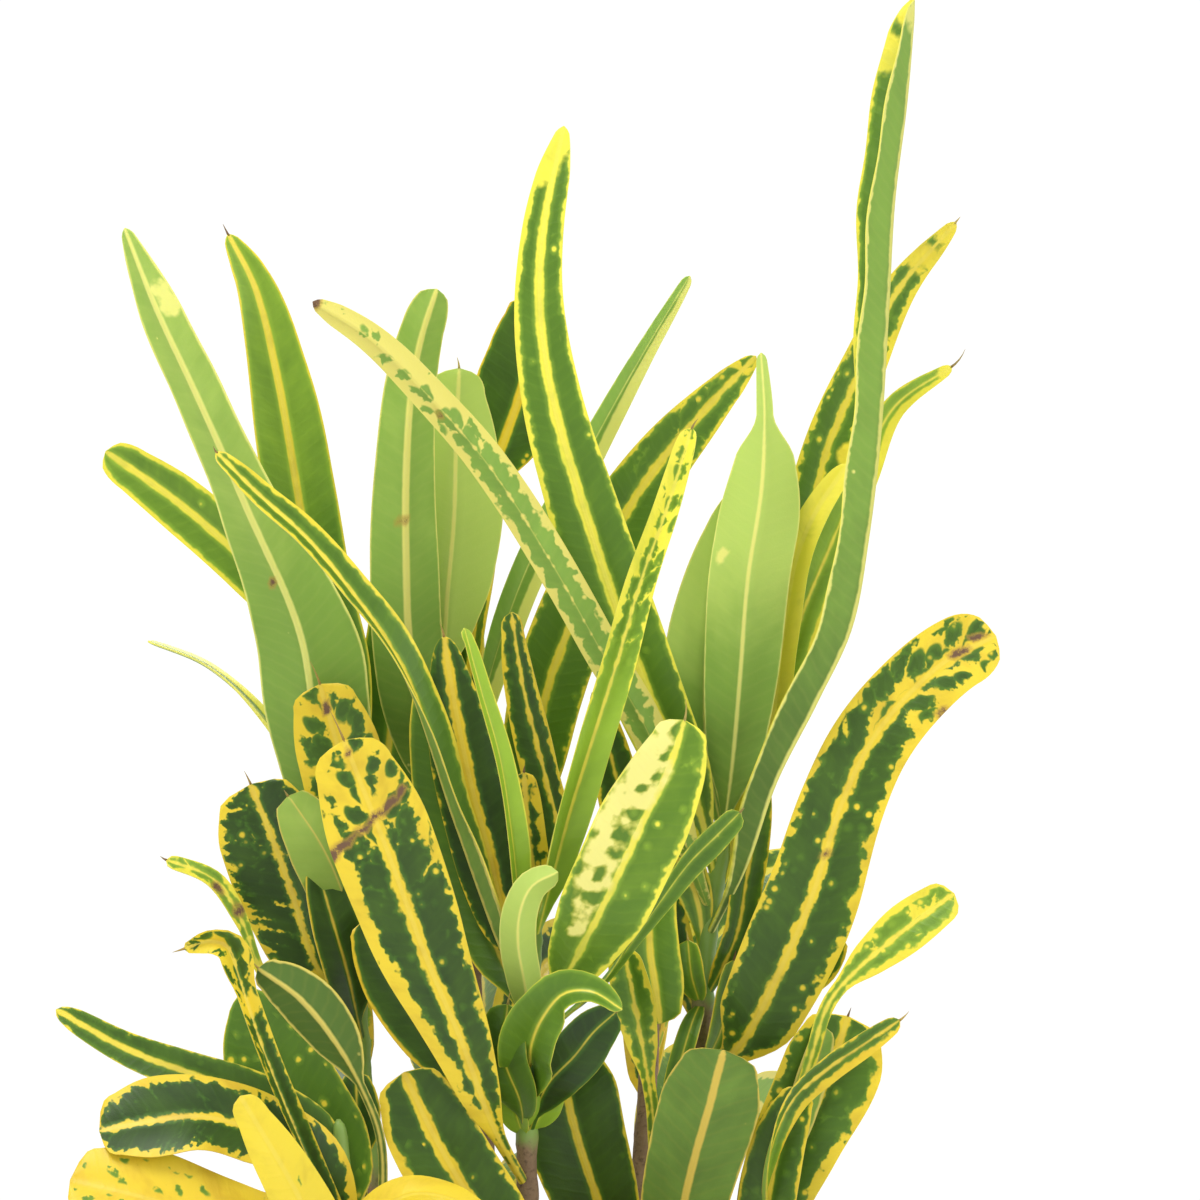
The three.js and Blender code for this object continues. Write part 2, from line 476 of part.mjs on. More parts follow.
function turned(profile) {
  const points = profile.map(([r, z]) => new THREE.Vector2(r, z));
  return new THREE.LatheGeometry(points, POT_SIDES).rotateX(Math.PI / 2);
}

function potSolid() {
  const collarFoot = POT_HEIGHT - COLLAR_HEIGHT;
  const shell = solidOf(
    turned([
      [0, 0],
      [POT_BASE_RADIUS - FOOT_BEVEL, 0],
      [outerRadiusAt(FOOT_BEVEL), FOOT_BEVEL],
      [outerRadiusAt(collarFoot), collarFoot],
      [outerRadiusAt(collarFoot) + COLLAR_STEP, collarFoot + FOOT_BEVEL],
      [POT_RIM_RADIUS, POT_HEIGHT - RIM_BEVEL],
      [POT_RIM_RADIUS - RIM_BEVEL, POT_HEIGHT],
      [innerRadiusAt(POT_HEIGHT), POT_HEIGHT],
      [innerRadiusAt(POT_FLOOR), POT_FLOOR],
      [0, POT_FLOOR],
    ]),
  );
  let pot = shell;
  for (let i = 0; i < DRAIN_COUNT; i++) {
    const angle = (2 * Math.PI * i) / DRAIN_COUNT;
    const drill = new THREE.CylinderGeometry(DRAIN_RADIUS, DRAIN_RADIUS, POT_FLOOR * 4, DRAIN_SIDES)
      .rotateX(Math.PI / 2)
      .translate(Math.cos(angle) * DRAIN_CIRCLE_RADIUS, Math.sin(angle) * DRAIN_CIRCLE_RADIUS, 0);
    pot = pot.subtract(solidOf(drill));
  }
  return pot;
}

function soilSolid() {
  const foot = POT_FLOOR + FIT_GAP;
  const brim = innerRadiusAt(SOIL_TOP);
  const body = solidOf(
    turned([
      [0, foot],
      [innerRadiusAt(foot) - FIT_GAP, foot],
      [brim - FIT_GAP, SOIL_TOP],
      ...SOIL_MOUND.map(([share, lift]) => [brim * share, SOIL_TOP + lift]),
    ]),
  );
  return Object.values(SHOOTS).reduce((soil, { stem, girth }) => {
    const [x, y, z] = stem[0];
    const hole = girth[0] + FIT_GAP;
    const socket = new THREE.CylinderGeometry(hole, hole, SOCKET_DEPTH, STEM_SIDES)
      .rotateX(Math.PI / 2)
      .translate(x, y, z - FIT_GAP + SOCKET_DEPTH / 2);
    return soil.subtract(stemSolid(stem, girth, FIT_GAP)).subtract(solidOf(socket));
  }, body);
}

// ---- The plant ----------------------------------------------------------------------------------
const POT_FINISH = { color: 0xa65a3c, roughness: 0.7 };
const SOIL_FINISH = { color: 0x33261c, roughness: 1 };
const FOLIAGE_FINISH = { color: 0x4f7f2c, roughness: 0.45 };

function node(name, solid, finish) {
  const mesh = new THREE.Mesh(geometryOf(solid), new THREE.MeshStandardMaterial(finish));
  mesh.name = name;
  return mesh;
}

const croton = new THREE.Group();
croton.add(node("pot", potSolid(), POT_FINISH));
croton.add(node("soil", soilSolid(), SOIL_FINISH));
for (const [name, shoot] of Object.entries(SHOOTS)) {
  croton.add(node(name, shootSolid(shoot), FOLIAGE_FINISH));
}

export default croton;
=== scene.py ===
"""Looks of a potted croton: every leaf as a thin folded blade with its own variegation, woody stems,
a plain clay pot and its soil. Shapes are stated in millimetres and built in metres.
+Z is up, -Y is the plant's front, and the origin is the middle of the pot's underside."""
import math
import random
from functools import reduce

import bpy
import numpy as np
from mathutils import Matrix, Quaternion, Vector


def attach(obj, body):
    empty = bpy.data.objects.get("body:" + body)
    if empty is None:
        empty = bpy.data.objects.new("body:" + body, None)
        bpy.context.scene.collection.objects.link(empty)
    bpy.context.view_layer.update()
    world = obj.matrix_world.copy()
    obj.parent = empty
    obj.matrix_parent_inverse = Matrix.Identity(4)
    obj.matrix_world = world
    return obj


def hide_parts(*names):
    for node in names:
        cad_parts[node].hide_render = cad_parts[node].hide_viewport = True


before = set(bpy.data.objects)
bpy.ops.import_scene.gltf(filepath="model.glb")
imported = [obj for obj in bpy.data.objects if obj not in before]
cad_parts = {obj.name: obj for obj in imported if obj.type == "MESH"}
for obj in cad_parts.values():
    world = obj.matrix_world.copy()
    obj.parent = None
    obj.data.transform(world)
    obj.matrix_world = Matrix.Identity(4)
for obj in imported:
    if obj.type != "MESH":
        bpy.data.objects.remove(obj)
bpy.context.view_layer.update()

MM = 0.001

# ---- Driving dimensions, in millimetres ----
POT_HEIGHT = 130
POT_BASE_RADIUS = 54
POT_RIM_RADIUS = 76
POT_WALL = 2.4
POT_FLOOR = 3
POT_SIDES = 96
CORNER_RADIUS = 1.2
COLLAR_HEIGHT = 20
COLLAR_STEP = 2.6
DRAIN_COUNT = 6
DRAIN_RADIUS = 5
DRAIN_CIRCLE_RADIUS = 38
DRAIN_SIDES = 32

SOIL_TOP = 116
SOIL_MOUND = 4
SOIL_RINGS = 26
CRUMBS = 420
FIT_GAP = 0.35

STEM_SIDES = 20
STEM_RINGS = 110
STEM_DOME = 0.97  # share of the length where its top rounds off
JOINT_SWELL = 0.22  # where a leaf joins
JOINT_REACH = 1.6
MOST_SWELL = 0.4
CORE_INSET = 0.12
BARK_FADE = 24

COLUMNS = 15  # places across a blade
STATION_GAP = 2.2
FEWEST_STATIONS = 24
PETIOLE_WIDTH = 2.4
PETIOLE_THICKNESS = 2
PETIOLE_END = 0.3  # share of the length where the blade is as thin as it gets
BLADE_THICKNESS = 0.55
ARCH = 0.035  # of each half of a blade, by its half-width
GROOVE_DEPTH, GROOVE_WIDTH = 0.16, 0.8  # over the midrib
KEEL_HEIGHT, KEEL_WIDTH = 0.5, 0.9  # under the midrib
HAIR_RINGS = 5
HAIR_SIDES = 5
HAIR_BASE, HAIR_TIP = 0.39, 0.05
ARCHING_STEPS = 5

EYE = Vector((10, -1500, 340))
VIEW_WIDTH = 300
BACKDROP_LIGHT = 1.05
ROOM_LIGHT = 0.62
FLOOR_RADIUS = 3400


def blend(a, b, share):
    return a + (b - a) * share


# ---- Leaf outlines: shares of the length, and the share of the full width at each ----
OUTLINES = {
    "strap": ((0, 0.07, 0.17, 0.34, 0.58, 0.8, 0.93, 1), (0, 0, 0.55, 0.9, 1, 0.8, 0.48, 0.05)),
    "ribbon": ((0, 0.06, 0.16, 0.34, 0.6, 0.84, 0.96, 1), (0, 0.1, 0.6, 0.95, 1, 0.82, 0.5, 0.1)),
    "whip": ((0, 0.06, 0.18, 0.38, 0.6, 0.8, 0.93, 1), (0, 0.1, 0.8, 1, 0.82, 0.56, 0.38, 0.06)),
    "lance": ((0, 0.08, 0.18, 0.32, 0.48, 0.7, 0.88, 1), (0, 0, 0.5, 0.92, 1, 0.74, 0.36, 0.04)),
    "sword": ((0, 0.07, 0.2, 0.4, 0.62, 0.82, 0.93, 1), (0, 0.1, 0.72, 1, 0.98, 0.7, 0.38, 0.04)),
    "taper": ((0, 0.07, 0.16, 0.3, 0.45, 0.62, 0.86, 1), (0, 0.25, 0.88, 1, 0.75, 0.47, 0.36, 0.05)),
    "paddle": ((0, 0.1, 0.24, 0.44, 0.66, 0.84, 0.95, 1), (0, 0, 0.42, 0.74, 0.92, 1, 0.76, 0.12)),
    "club": ((0, 0.14, 0.26, 0.44, 0.64, 0.8, 0.94, 1), (0, 0.04, 0.34, 0.66, 0.94, 1, 0.74, 0.12)),
    "broad": ((0, 0.08, 0.2, 0.4, 0.6, 0.8, 0.94, 1), (0, 0.08, 0.46, 0.84, 1, 0.98, 0.72, 0.12)),
    "oval": ((0, 0.14, 0.3, 0.5, 0.68, 0.84, 0.95, 1), (0, 0, 0.62, 0.97, 1, 0.84, 0.54, 0.08)),
    "waisted": ((0, 0.08, 0.19, 0.36, 0.54, 0.78, 0.93, 1), (0, 0.1, 0.84, 1, 0.9, 0.8, 0.74, 0.12)),
    "tailed": ((0, 0.09, 0.22, 0.44, 0.66, 0.8, 0.88, 1), (0, 0, 0.62, 0.94, 1, 0.68, 0.1, 0.16)),
    "spoon": ((0, 0.2, 0.42, 0.58, 0.7, 0.84, 0.94, 1), (0, 0, 0.1, 0.12, 0.66, 1, 0.84, 0.12)),
    "blunt": ((0, 0.06, 0.16, 0.3, 0.52, 0.76, 0.93, 1), (0, 0.15, 0.78, 1, 0.95, 0.74, 0.54, 0.12)),
    "band": ((0, 0.06, 0.16, 0.34, 0.6, 0.84, 0.96, 1), (0, 0.1, 0.55, 0.84, 0.94, 1, 0.64, 0.1)),
    "stalked": ((0, 0.59, 0.65, 0.73, 0.82, 0.91, 0.97, 1), (0, 0, 0.42, 0.86, 1, 0.8, 0.46, 0.06)),
    "rounded": ((0, 0.27, 0.38, 0.53, 0.67, 0.82, 0.94, 1), (0, 0.02, 0.5, 0.9, 1, 0.84, 0.5, 0.08)),
    "flag": ((0, 0.08, 0.3, 0.6, 0.76, 0.85, 0.93, 1), (0, 0.3, 0.6, 0.6, 0.55, 1, 0.62, 0.05)),
}
ROUND_TIPS = {"stalked", "rounded", "blunt", "paddle", "oval", "waisted", "spoon", "strap", "broad", "club"}


# ---- Shoots ----
def streak(start, end, radius):
    """A run of round marks between two places on a leaf."""
    steps = 14
    return [(blend(start[0], end[0], i / steps), blend(start[1], end[1], i / steps), radius)
            for i in range(steps + 1)]


# The places that each stem's core passes through from the root up, its radius at the root and at the
# crown, and the height where its bark gives way to green.
STEMS = {
    "shoot_left": (((-28, 6, 92), (-40, 8, 150), (-48, 10, 205), (-51, 10, 245), (-53, 9, 284)), (3.2, 1.6),
     196),
    "shoot_left_low": (((-30, -20, 92), (-42, -27, 140), (-50, -31, 180), (-54, -32, 213)), (3.2, 1.8), 168),
    "shoot_centre": (((-2, -10, 92), (-5, -18, 150), (-8, -22, 200), (-7, -22, 240), (-6, -22, 264)),
     (3.9, 1.9), 206),
    "shoot_back": (((-10, 22, 92), (-16, 28, 160), (-22, 32, 230), (-25, 32, 302)), (4.1, 1.9), 262),
    "shoot_right": (((22, 0, 92), (28, -2, 150), (35, -5, 230), (37, -6, 258), (41, -6, 282)), (4.1, 2.2),
     240),
    "shoot_right_low": (((32, -14, 92), (42, -22, 140), (50, -27, 180), (54, -29, 210)), (3.2, 1.8), 168),
    "shoot_rear": (((12, 24, 92), (17, 34, 150), (22.5, 40, 220), (25, 42, 290)), (3.8, 1.8), 256),
}
# Each leaf's name, outline, width, fold in degrees, the way its upper side faces at the base and at the
# tip (degrees from the front towards the right) and how far that is tilted up, height on the stem, look,
# the places that the midrib passes through on its way to the tip, and what sets it apart.
# Look: green from dark (0) to young lime (1), width of the yellow midrib band, width of the yellow
# margin, raggedness of both, amount of yellow dots, yellow from golden (0) to lemon (1).
# base: its green near the stalk, which is painted shade where it is darker than the rest of the leaf and
#   the leaf's own colour where it is lighter; the share of its yellow's raggedness and margin that is kept
#   there, and the shares of the length between which it takes up the look of the rest.
# tip: how much yellower it turns towards the tip, and the share of the length where that starts.
# margins: the yellow margin's share of its width, left and right of the midrib.
# bars: how far the yellow runs along the side veins, left and right of the midrib, from 0 to 1.
# hair: length of the dry hair at the tip, which is otherwise left to chance.
# scar, patch, island: brown marks, yellow patches and green islands in those: share of the length, place
#   across from -1 to 1, and radius.
LEAVES = {"shoot_left": [
    ("left_tall", "taper", 29, 16, (168, 160), 0, 270, (0.74, 1.9, 0.5, 0.05, 0.03, 0.95),
     ((-60.5, 2, 306), (-65, -4, 332), (-78, -14, 362.5), (-91.1, -22, 392), (-100.4, -26, 412),
      (-108.8, -27, 433)),
     dict(base=(0.42, 1, 0.2, 0.7), hair=0, scar=[(0.45, 0.15, 0.9)], patch=[(0.875, -0.62, 2.6),
          (0.905, -0.6, 2.4)])),
    ("left_second", "sword", 20, 18, (10, 20), 0, 280, (0.66, 2.2, 0.5, 0.06, 0, 0.6),
     ((-55.5, 22, 320), (-61, 26, 340), (-66.2, 26, 370), (-70.8, 25, 396), (-76.3, 23, 418),
      (-83, 22, 431.5)),
     dict(base=(0.4, 1, 0.3, 0.7), hair=3)),
    ("left_fan", "club", 15, 15, (-15, -20), 15, 262, (0.55, 2.2, 1.1, 0.16, 0.1, 0.8),
     ((-60, 22, 312), (-64.5, 27, 333), (-76.8, 29, 347.6), (-94.2, 29, 363.4), (-113.6, 28, 377.2))),
    ("left_spotted", "broad", 22, 10, (0, -10), 10, 240, (0.2, 2.4, 1.8, 0.7, 0.3, 0.3),
     ((-48, -4, 263), (-52, -10, 290), (-60, -11, 319)),
     dict(tip=(0.7, 0.4), bars=(0.3, 0.3), hair=5, scar=[(0.93, 0, 1.2)])),
    ("left_small", "oval", 17, 12, (195, 200), 0, 252, (0.72, 0.5, 0.3, 0.05, 0, 0.5),
     ((-55, -10, 268), (-60, -16, 279), (-68, -18, 291))),
    ("left_broad", "broad", 27, 10, (-10, -15), 10, 238, (0.08, 2, 1.1, 0.8, 0.3, 0.35),
     ((-60, 2, 247), (-67.3, -2, 268), (-72.5, -4, 282), (-77.3, -4, 294)),
     dict(tip=(0.35, 0.1), margins=(1.3, 0.5), bars=(0.85, 0.1))),
    ("left_inner", "oval", 14, 14, (20, 30), 5, 228, (0.1, 0.8, 0.4, 0.1, 0.05, 0.3),
     ((-53, -5, 246), (-57, -10, 260), (-61, -12, 274))),
    ("left_behind", "sword", 20, 14, (-10, -10), 0, 246, (0.4, 2, 0.4, 0.06, 0, 0.5),
     ((-45, 24, 288), (-42, 30, 310), (-41, 32, 332), (-42, 33, 352))),
    ("left_whisker", "strap", 7, 16, (0, 0), 82, 256, (0.3, 0.3, 2.5, 0.05, 0, 0.95),
     ((-60, 20, 287), (-74, 26, 310.3), (-88, 28, 323.4), (-103, 28, 329.7)),
     dict(base=(0.1, 0.05, 0.1, 0.5), hair=0)),
    ("left_spoon", "spoon", 5, 10, (0, 0), 40, 230, (0.6, 1.2, 0.9, 0.5, 0.2, 0.8),
     ((-62, -3, 236), (-74, -8, 246), (-79.5, -10, 259.5), (-86.5, -10, 270), (-98.5, -10, 275)),
     dict(tip=(0.5, 0.4), hair=2, scar=[(0.7, 0.3, 1.6), (0.8, -0.4, 1.2)])),
], "shoot_left_low": [
    ("low_strap", "whip", 12.5, 12, (-5, -10), 25, 196, (0.22, 2.3, 0.15, 0.3, 0.03, 0.6),
     ((-60, -32, 206), (-73, -33, 214.2), (-92, -32, 221.4), (-108, -31, 227.5), (-126, -30, 237.6)),
     dict(hair=0)),
    ("low_lobe", "sword", 28.5, 8, (-20, -20), 10, 184, (0.36, 1, 0.3, 0.15, 0.5, 0.5),
     ((-55.5, -26, 194), (-64.5, -22, 211), (-72.5, -19, 226), (-78.5, -17, 243))),
    ("low_pale", "stalked", 15, 14, (165, 160), 0, 168, (0.02, 1.6, 0.6, 0.1, 0.08, 0.5),
     ((-44.5, -31, 190), (-45, -34, 206), (-49.5, -38, 218), (-56, -42, 229.5), (-65, -44, 240.5),
      (-75.5, -44, 248))),
    ("low_dark", "stalked", 12, 10, (0, 0), 5, 170, (0.1, 0.8, 0.4, 0.1, 0, 0.4),
     ((-49, -21, 187), (-50.5, -20, 205), (-51, -19, 222))),
    ("low_flag", "flag", 12, 48, (60, 10), 0, 178, (0.14, 1, 0.8, 0.5, 0.1, 0.4),
     ((-63, -42, 200), (-74.4, -46, 228), (-80.4, -46, 246), (-83, -46, 253.2), (-87.4, -46, 254.7),
      (-94, -45, 252.8)),
     dict(base=(0.1, 0.5, 0.5, 0.8), tip=(0.7, 0.3), bars=(0.8, 0.6))),
    ("low_scalloped", "paddle", 22.5, 12, (-5, -5), 35, 172, (0.08, 2, 1.6, 0.7, 0.06, 0.3),
     ((-62, -40, 200), (-77, -43, 207.6), (-90, -45, 210.8), (-103, -46, 209.4), (-115.2, -46, 207.2)),
     dict(tip=(0.3, 0), bars=(0.65, 0.55))),
    ("low_yellow_wide", "paddle", 25, 10, (0, 0), 35, 152, (0.4, 4, 4, 0.6, 0.3, 0.3),
     ((-60, -46, 176), (-80, -52, 182.8), (-104, -54, 190.5), (-122.5, -53, 195)),
     dict(tip=(0.95, -0.5), hair=0)),
    ("low_yellow_up", "strap", 15, 10, (10, 5), 10, 146, (0.4, 4, 5, 0.5, 0.3, 0.5),
     ((-58, -54, 176), (-67, -59, 194), (-74, -60, 206), (-80, -60, 216)),
     dict(tip=(0.98, -0.5))),
    ("low_yellow_front", "strap", 16, 12, (10, 10), 60, 134, (0.4, 5, 6, 0.5, 0.4, 0.35),
     ((-50, -52, 168), (-47, -58, 184), (-38, -61, 191), (-27, -61, 190), (-17, -60, 184)),
     dict(tip=(0.98, -0.5))),
], "shoot_centre": [
    ("front_spotted", "club", 26, 10, (-10, -15), 15, 195, (0.1, 3.2, 2.2, 0.8, 0.3, 0.38),
     ((-17, -36, 209), (-24, -42, 228), (-34, -46, 252), (-43, -49, 277), (-54, -50, 305)),
     dict(tip=(0.74, 0.45), margins=(1.55, 0.45), hair=7, scar=[*streak((0.8, -1), (0.87, 0.8), 0.85),
          (0.8, -1, 1.4), (0.975, 0, 1)])),
    ("long_folded", "whip", 15, 34, (110, 25), 0, 238, (0.36, 1.8, 1, 0.25, 0.08, 0.6),
     ((-16, -29, 258), (-26, -33, 285), (-39, -36, 322), (-53, -36, 343), (-65, -35, 357), (-75, -34, 366),
      (-86, -32, 377))),
    ("front_lower", "broad", 23, 10, (-10, -15), 15, 154, (0.15, 3.2, 1.2, 0.5, 0.15, 0.35),
     ((-14, -31, 178), (-24, -33, 193), (-32, -33, 207), (-39, -32, 222)),
     dict(margins=(1.7, 0.7))),
    ("recurved", "lance", 17, 30, (-20, 20), 25, 214, (0.46, 0.9, 0.12, 0.05, 0, 0.8),
     ((-7.5, -33, 222), (-7, -40, 229), (-4, -46, 236), (1, -50, 241.5), (8, -53, 242), (15.5, -54, 237.5))),
    ("recurved_back", "oval", 14, 14, (-30, -20), 0, 208, (0.28, 0.5, 0, 0.05, 0, 0.5),
     ((-10, -31, 215), (-14, -36, 226), (-13, -39, 239))),
    ("sheath_left", "oval", 9, 24, (-30, -30), 0, 206, (0.75, 0.4, 0, 0.05, 0, 0.8),
     ((-11, -26, 212), (-12, -28, 221))),
    ("sheath_right", "oval", 9, 24, (30, 30), 0, 208, (0.75, 0.4, 0, 0.05, 0, 0.8),
     ((-4, -27, 213), (-2, -30, 222))),
    ("recurved_right", "oval", 13.5, 14, (10, 10), 5, 208, (0.02, 0.4, 0, 0.05, 0, 0.4),
     ((-3, -33, 219), (3.6, -37, 226), (8.4, -39, 232), (14, -40, 237))),
    ("lime_hook", "ribbon", 10, 26, (182, 180), 0, 236, (1, 1, 0.25, 0.04, 0, 0.9),
     ((-9, -36, 245), (-10.5, -40, 254), (-10, -42, 262), (-7, -43, 268.5), (-0.5, -44, 272))),
    ("front_pale", "oval", 23, 12, (10, 10), 10, 232, (0.52, 1.8, 0.9, 0.3, 0.25, 1),
     ((2, -34, 247), (11, -42, 264), (20, -46, 283), (28, -48, 300), (31.2, -48, 310)),
     dict(tip=(0.3, 0.5), margins=(0.6, 1.2), hair=5, patch=[(0.97, -0.8, 2.2), (0.91, -0.6, 3.8),
          (0.84, -0.45, 5), (0.76, -0.5, 5.2), (0.68, -0.5, 5.2), (0.6, -0.48, 4.8), (0.52, -0.45, 4.2),
          (0.45, -0.4, 3.2), (0.38, -0.35, 2.4)], island=[(0.9, -0.25, 0.9), (0.84, -0.22, 1.1),
          (0.79, -0.4, 0.8), (0.72, -0.3, 1.5), (0.66, -0.36, 1.9), (0.6, -0.3, 1.3), (0.54, -0.42, 1.5),
          (0.48, -0.3, 1.6)])),
    ("thin_twist", "paddle", 8, 20, (90, 25), 0, 230, (0.42, 0.35, 0.1, 0.1, 0.05, 0.9),
     ((10, -27, 244), (21, -33, 259), (32, -37, 274), (39, -38, 281), (45, -38, 287))),
    ("lime_strap", "whip", 9, 44, (45, 35), 0, 250, (0.9, 0.6, 0.3, 0.05, 0, 0.9),
     ((-10, -29, 262), (-12, -33, 280), (-15, -35, 300), (-20, -37, 318), (-24, -38, 333))),
    ("dark_centre", "sword", 18, 12, (-10, -10), 5, 244, (0.06, 3.2, 0.12, 0.6, 0.06, 0.3),
     ((-14, -19, 262), (-17.5, -20, 276), (-22.5, -22, 295), (-26.5, -24, 315), (-29, -26, 331))),
    ("dark_right", "strap", 12, 22, (-40, -30), 0, 256, (0.12, 1.6, 1, 0.6, 0.2, 0.35),
     ((0, -15, 278), (-4, -12, 298), (-9, -12, 318), (-12, -13, 337)),
     dict(tip=(0.3, 0.4))),
    ("centre_scrap", "oval", 9, 14, (0, 0), 0, 252, (0.1, 2, 2, 0.9, 0.5, 0.3),
     ((-6, -18, 268), (-8, -20, 282), (-9, -21, 297))),
    ("centre_behind", "sword", 18, 12, (-10, -10), 0, 236, (0.3, 1.6, 0.4, 0.06, 0, 0.5),
     ((-16, -14, 254), (-24, -8, 275), (-30, -4, 300), (-34, -2, 322))),
    ("tall_blade", "blunt", 12, 42, (40, -15), 0, 256, (0.5, 1.4, 1.8, 0.7, 0.3, 0.95),
     ((-3, -28, 268), (2, -34, 286), (8, -37, 305), (14.4, -38, 325), (20.3, -38, 345), (26.5, -38, 362),
      (33, -37, 383)),
     dict(base=(0.85, 0.12, 0.4, 0.7), tip=(0.76, 0.35), margins=(1.2, 0.3))),
    ("inner_olive", "oval", 17, 12, (0, 0), 10, 212, (0.12, 2, 0.9, 0.15, 0.03, 0.2),
     ((-19, -20, 220), (-30, -17, 229), (-41, -14, 244), (-49, -13, 260))),
], "shoot_back": [
    ("dark_back", "stalked", 24, 12, (-10, -10), 0, 292, (0.18, 2.6, 0.5, 0.12, 0.16, 0.25),
     ((-27, 36, 318), (-25.5, 38, 342), (-20, 37, 364), (-13.5, 35, 381), (-8.5, 33, 397), (-7, 31, 416)),
     dict(tip=(0, 0.5))),
    ("grey_back", "lance", 10, 22, (160, 165), 0, 288, (0.5, 0.3, 0.9, 0.08, 0, 0.9),
     ((-17, 28, 322), (-8, 26, 348), (2.5, 23, 368), (13.2, 21, 388), (22.3, 20, 404), (32.5, 18, 421)),
     dict(margins=(3.2, 0.2))),
    ("dark_diagonal", "sword", 19, 12, (0, 5), 5, 262, (0.4, 2.4, 0.7, 0.4, 0.3, 0.6),
     ((-9, 22, 292), (-3.3, 16, 317), (3.8, 12, 336.7), (14.1, 9, 357.7), (25.2, 7, 374.7), (36.2, 5, 387.5),
      (49, 3, 401)),
     dict(tip=(0.5, 0.5))),
    ("pale_tall", "blunt", 19, 16, (190, 195), 0, 284, (0.62, 2, 0.3, 0.05, 0.02, 0.8),
     ((-32.5, 16, 303), (-37.5, 6, 328), (-38.5, 0, 350), (-38.5, -3, 372), (-37.2, -5, 392),
      (-34.6, -7, 406), (-30.8, -8, 417.8)),
     dict(base=(0.3, 1, 0.2, 0.6), hair=0, scar=[(0.6, 0.1, 1.1)])),
    ("pale_broad", "rounded", 28, 20, (192, 188), 0, 292, (1, 1.2, 0.3, 0.05, 0, 0.9),
     ((-29, 22, 314), (-28.6, 14, 336), (-26.6, 11, 360), (-26, 10, 380), (-25.2, 9, 398)),
     dict(hair=3)),
], "shoot_right": [
    ("tall_strap", "band", 20, 50, (-128, -66), 0, 256, (0.44, 2, 0.8, 0.3, 0.1, 0.85),
     ((46, -20, 274), (53.5, -27, 295), (63.9, -31, 315), (72.3, -31, 333), (76.6, -30, 356),
      (79.6, -28, 382), (81.5, -25, 412), (83.1, -22, 440), (86.2, -18, 465), (88.4, -14, 491)),
     dict(base=(0.1, 0.3, 0.15, 0.6), tip=(0.7, 0.75), patch=[(0.99, 0, 6), (0.94, -0.8, 5)])),
    ("yellow_diagonal", "ribbon", 10, 14, (172, 165), 0, 262, (0.4, 0.1, 1.5, 0.8, 0.25, 0.62),
     ((32, -20, 278), (23, -27, 305), (10, -29, 328), (-3, -29, 351), (-18, -29, 374), (-32.7, -29, 391),
      (-47.5, -28, 405.5), (-61.8, -26, 414.6)),
     dict(tip=(0.9, 0.42), hair=0, scar=[(1, 0, 1.8), (0.78, 0.3, 0.9)])),
    ("tall_banded", "whip", 19.5, 12, (-5, -10), 0, 270, (0.42, 2.8, 0.8, 0.3, 0.12, 0.95),
     ((34, -13, 290), (27, -17, 305), (20, -19, 322), (13, -19, 341), (5, -19, 366), (-1.8, -19, 390),
      (-5, -18, 413), (-4.2, -17, 432), (1, -15, 458.5)),
     dict(tip=(0.3, 0.5), margins=(1.6, 0.8), hair=0, patch=[(0.98, -0.3, 5), (0.94, -0.7, 4)])),
    ("lime_tailed", "tailed", 21, 14, (176, 170), 0, 274, (1, 1.1, 0.25, 0.05, 0, 0.9),
     ((43, -14, 298), (45, -17, 320), (47, -18, 345), (50.5, -17, 368), (51.2, -15, 386), (50.3, -12, 401.8)),
     dict(base=(0.35, 1, 0.2, 0.7), patch=[(0.6, 0.75, 1.6)])),
    ("lime_behind", "lance", 21, 14, (196, 200), 0, 280, (0.92, 0.9, 0.25, 0.05, 0, 0.8),
     ((36.5, -6, 302), (36.3, -7, 325), (38.8, -7, 348), (44, -7, 368)),
     dict(base=(0.5, 1, 0.2, 0.7))),
    ("right_variegated", "sword", 14.2, 14, (-15, 30), 0, 276, (0.38, 2.2, 1.1, 0.6, 0.35, 0.6),
     ((50, 2, 310), (57.5, 7, 340), (66.3, 8, 376), (75.2, 8, 398), (84.5, 6, 417.5), (99, 4, 434.5)),
     dict(tip=(0.7, 0.6), margins=(0.8, 1.4), hair=2, patch=[(0.62, 0.8, 3), (0.93, 0, 4), (0.99, 0, 5)])),
    ("right_green", "lance", 12.5, 18, (-10, 10), 0, 268, (0.7, 1, 1, 0.15, 0.05, 0.85),
     ((52, -4, 305), (60.5, -5, 336), (67.4, -7, 353), (75.4, -8, 371.4), (83.6, -9, 388.3),
      (98, -10, 398.4)),
     dict(margins=(0.5, 2.2), hair=6, patch=[(1, 0, 4)])),
    ("right_ochre", "ribbon", 9, 20, (-6, -12), 0, 264, (0.5, 6, 7, 0.2, 0, 0.85),
     ((52, -6, 305), (55.5, -8, 330), (59, -10, 350), (64, -12, 362), (72, -13, 374))),
    ("right_spotted", "waisted", 24, 10, (5, 5), 12, 220, (0.16, 2.8, 1.5, 0.8, 0.5, 0.4),
     ((45.5, -15, 229.5), (54.1, -19, 245.5), (63, -22, 266), (70.3, -23, 288.8), (77.4, -23, 304),
      (86.6, -22, 315.8), (97.2, -20, 325.2), (109, -18, 331)),
     dict(tip=(0.69, 0.4), margins=(0.7, 1.2), hair=0, scar=[*streak((0.9, 0.1), (0.985, -0.3), 0.5),
          (0.94, 0, 1), (0.62, 0.02, 0.8), (0.5, -0.02, 0.7), (0.83, 0.95, 1.2)])),
    ("right_inner", "strap", 9, 16, (20, 25), 0, 240, (0.22, 1.2, 0.6, 0.3, 0.2, 0.3),
     ((44, -12, 256), (46.5, -14, 270), (49.1, -14, 284), (50.6, -13, 297))),
    ("right_hidden", "stalked", 11, 12, (0, 0), 15, 220, (0.2, 1.4, 0.8, 0.3, 0.2, 0.3),
     ((50, -9, 236), (61, -11, 245), (70.5, -12, 256))),
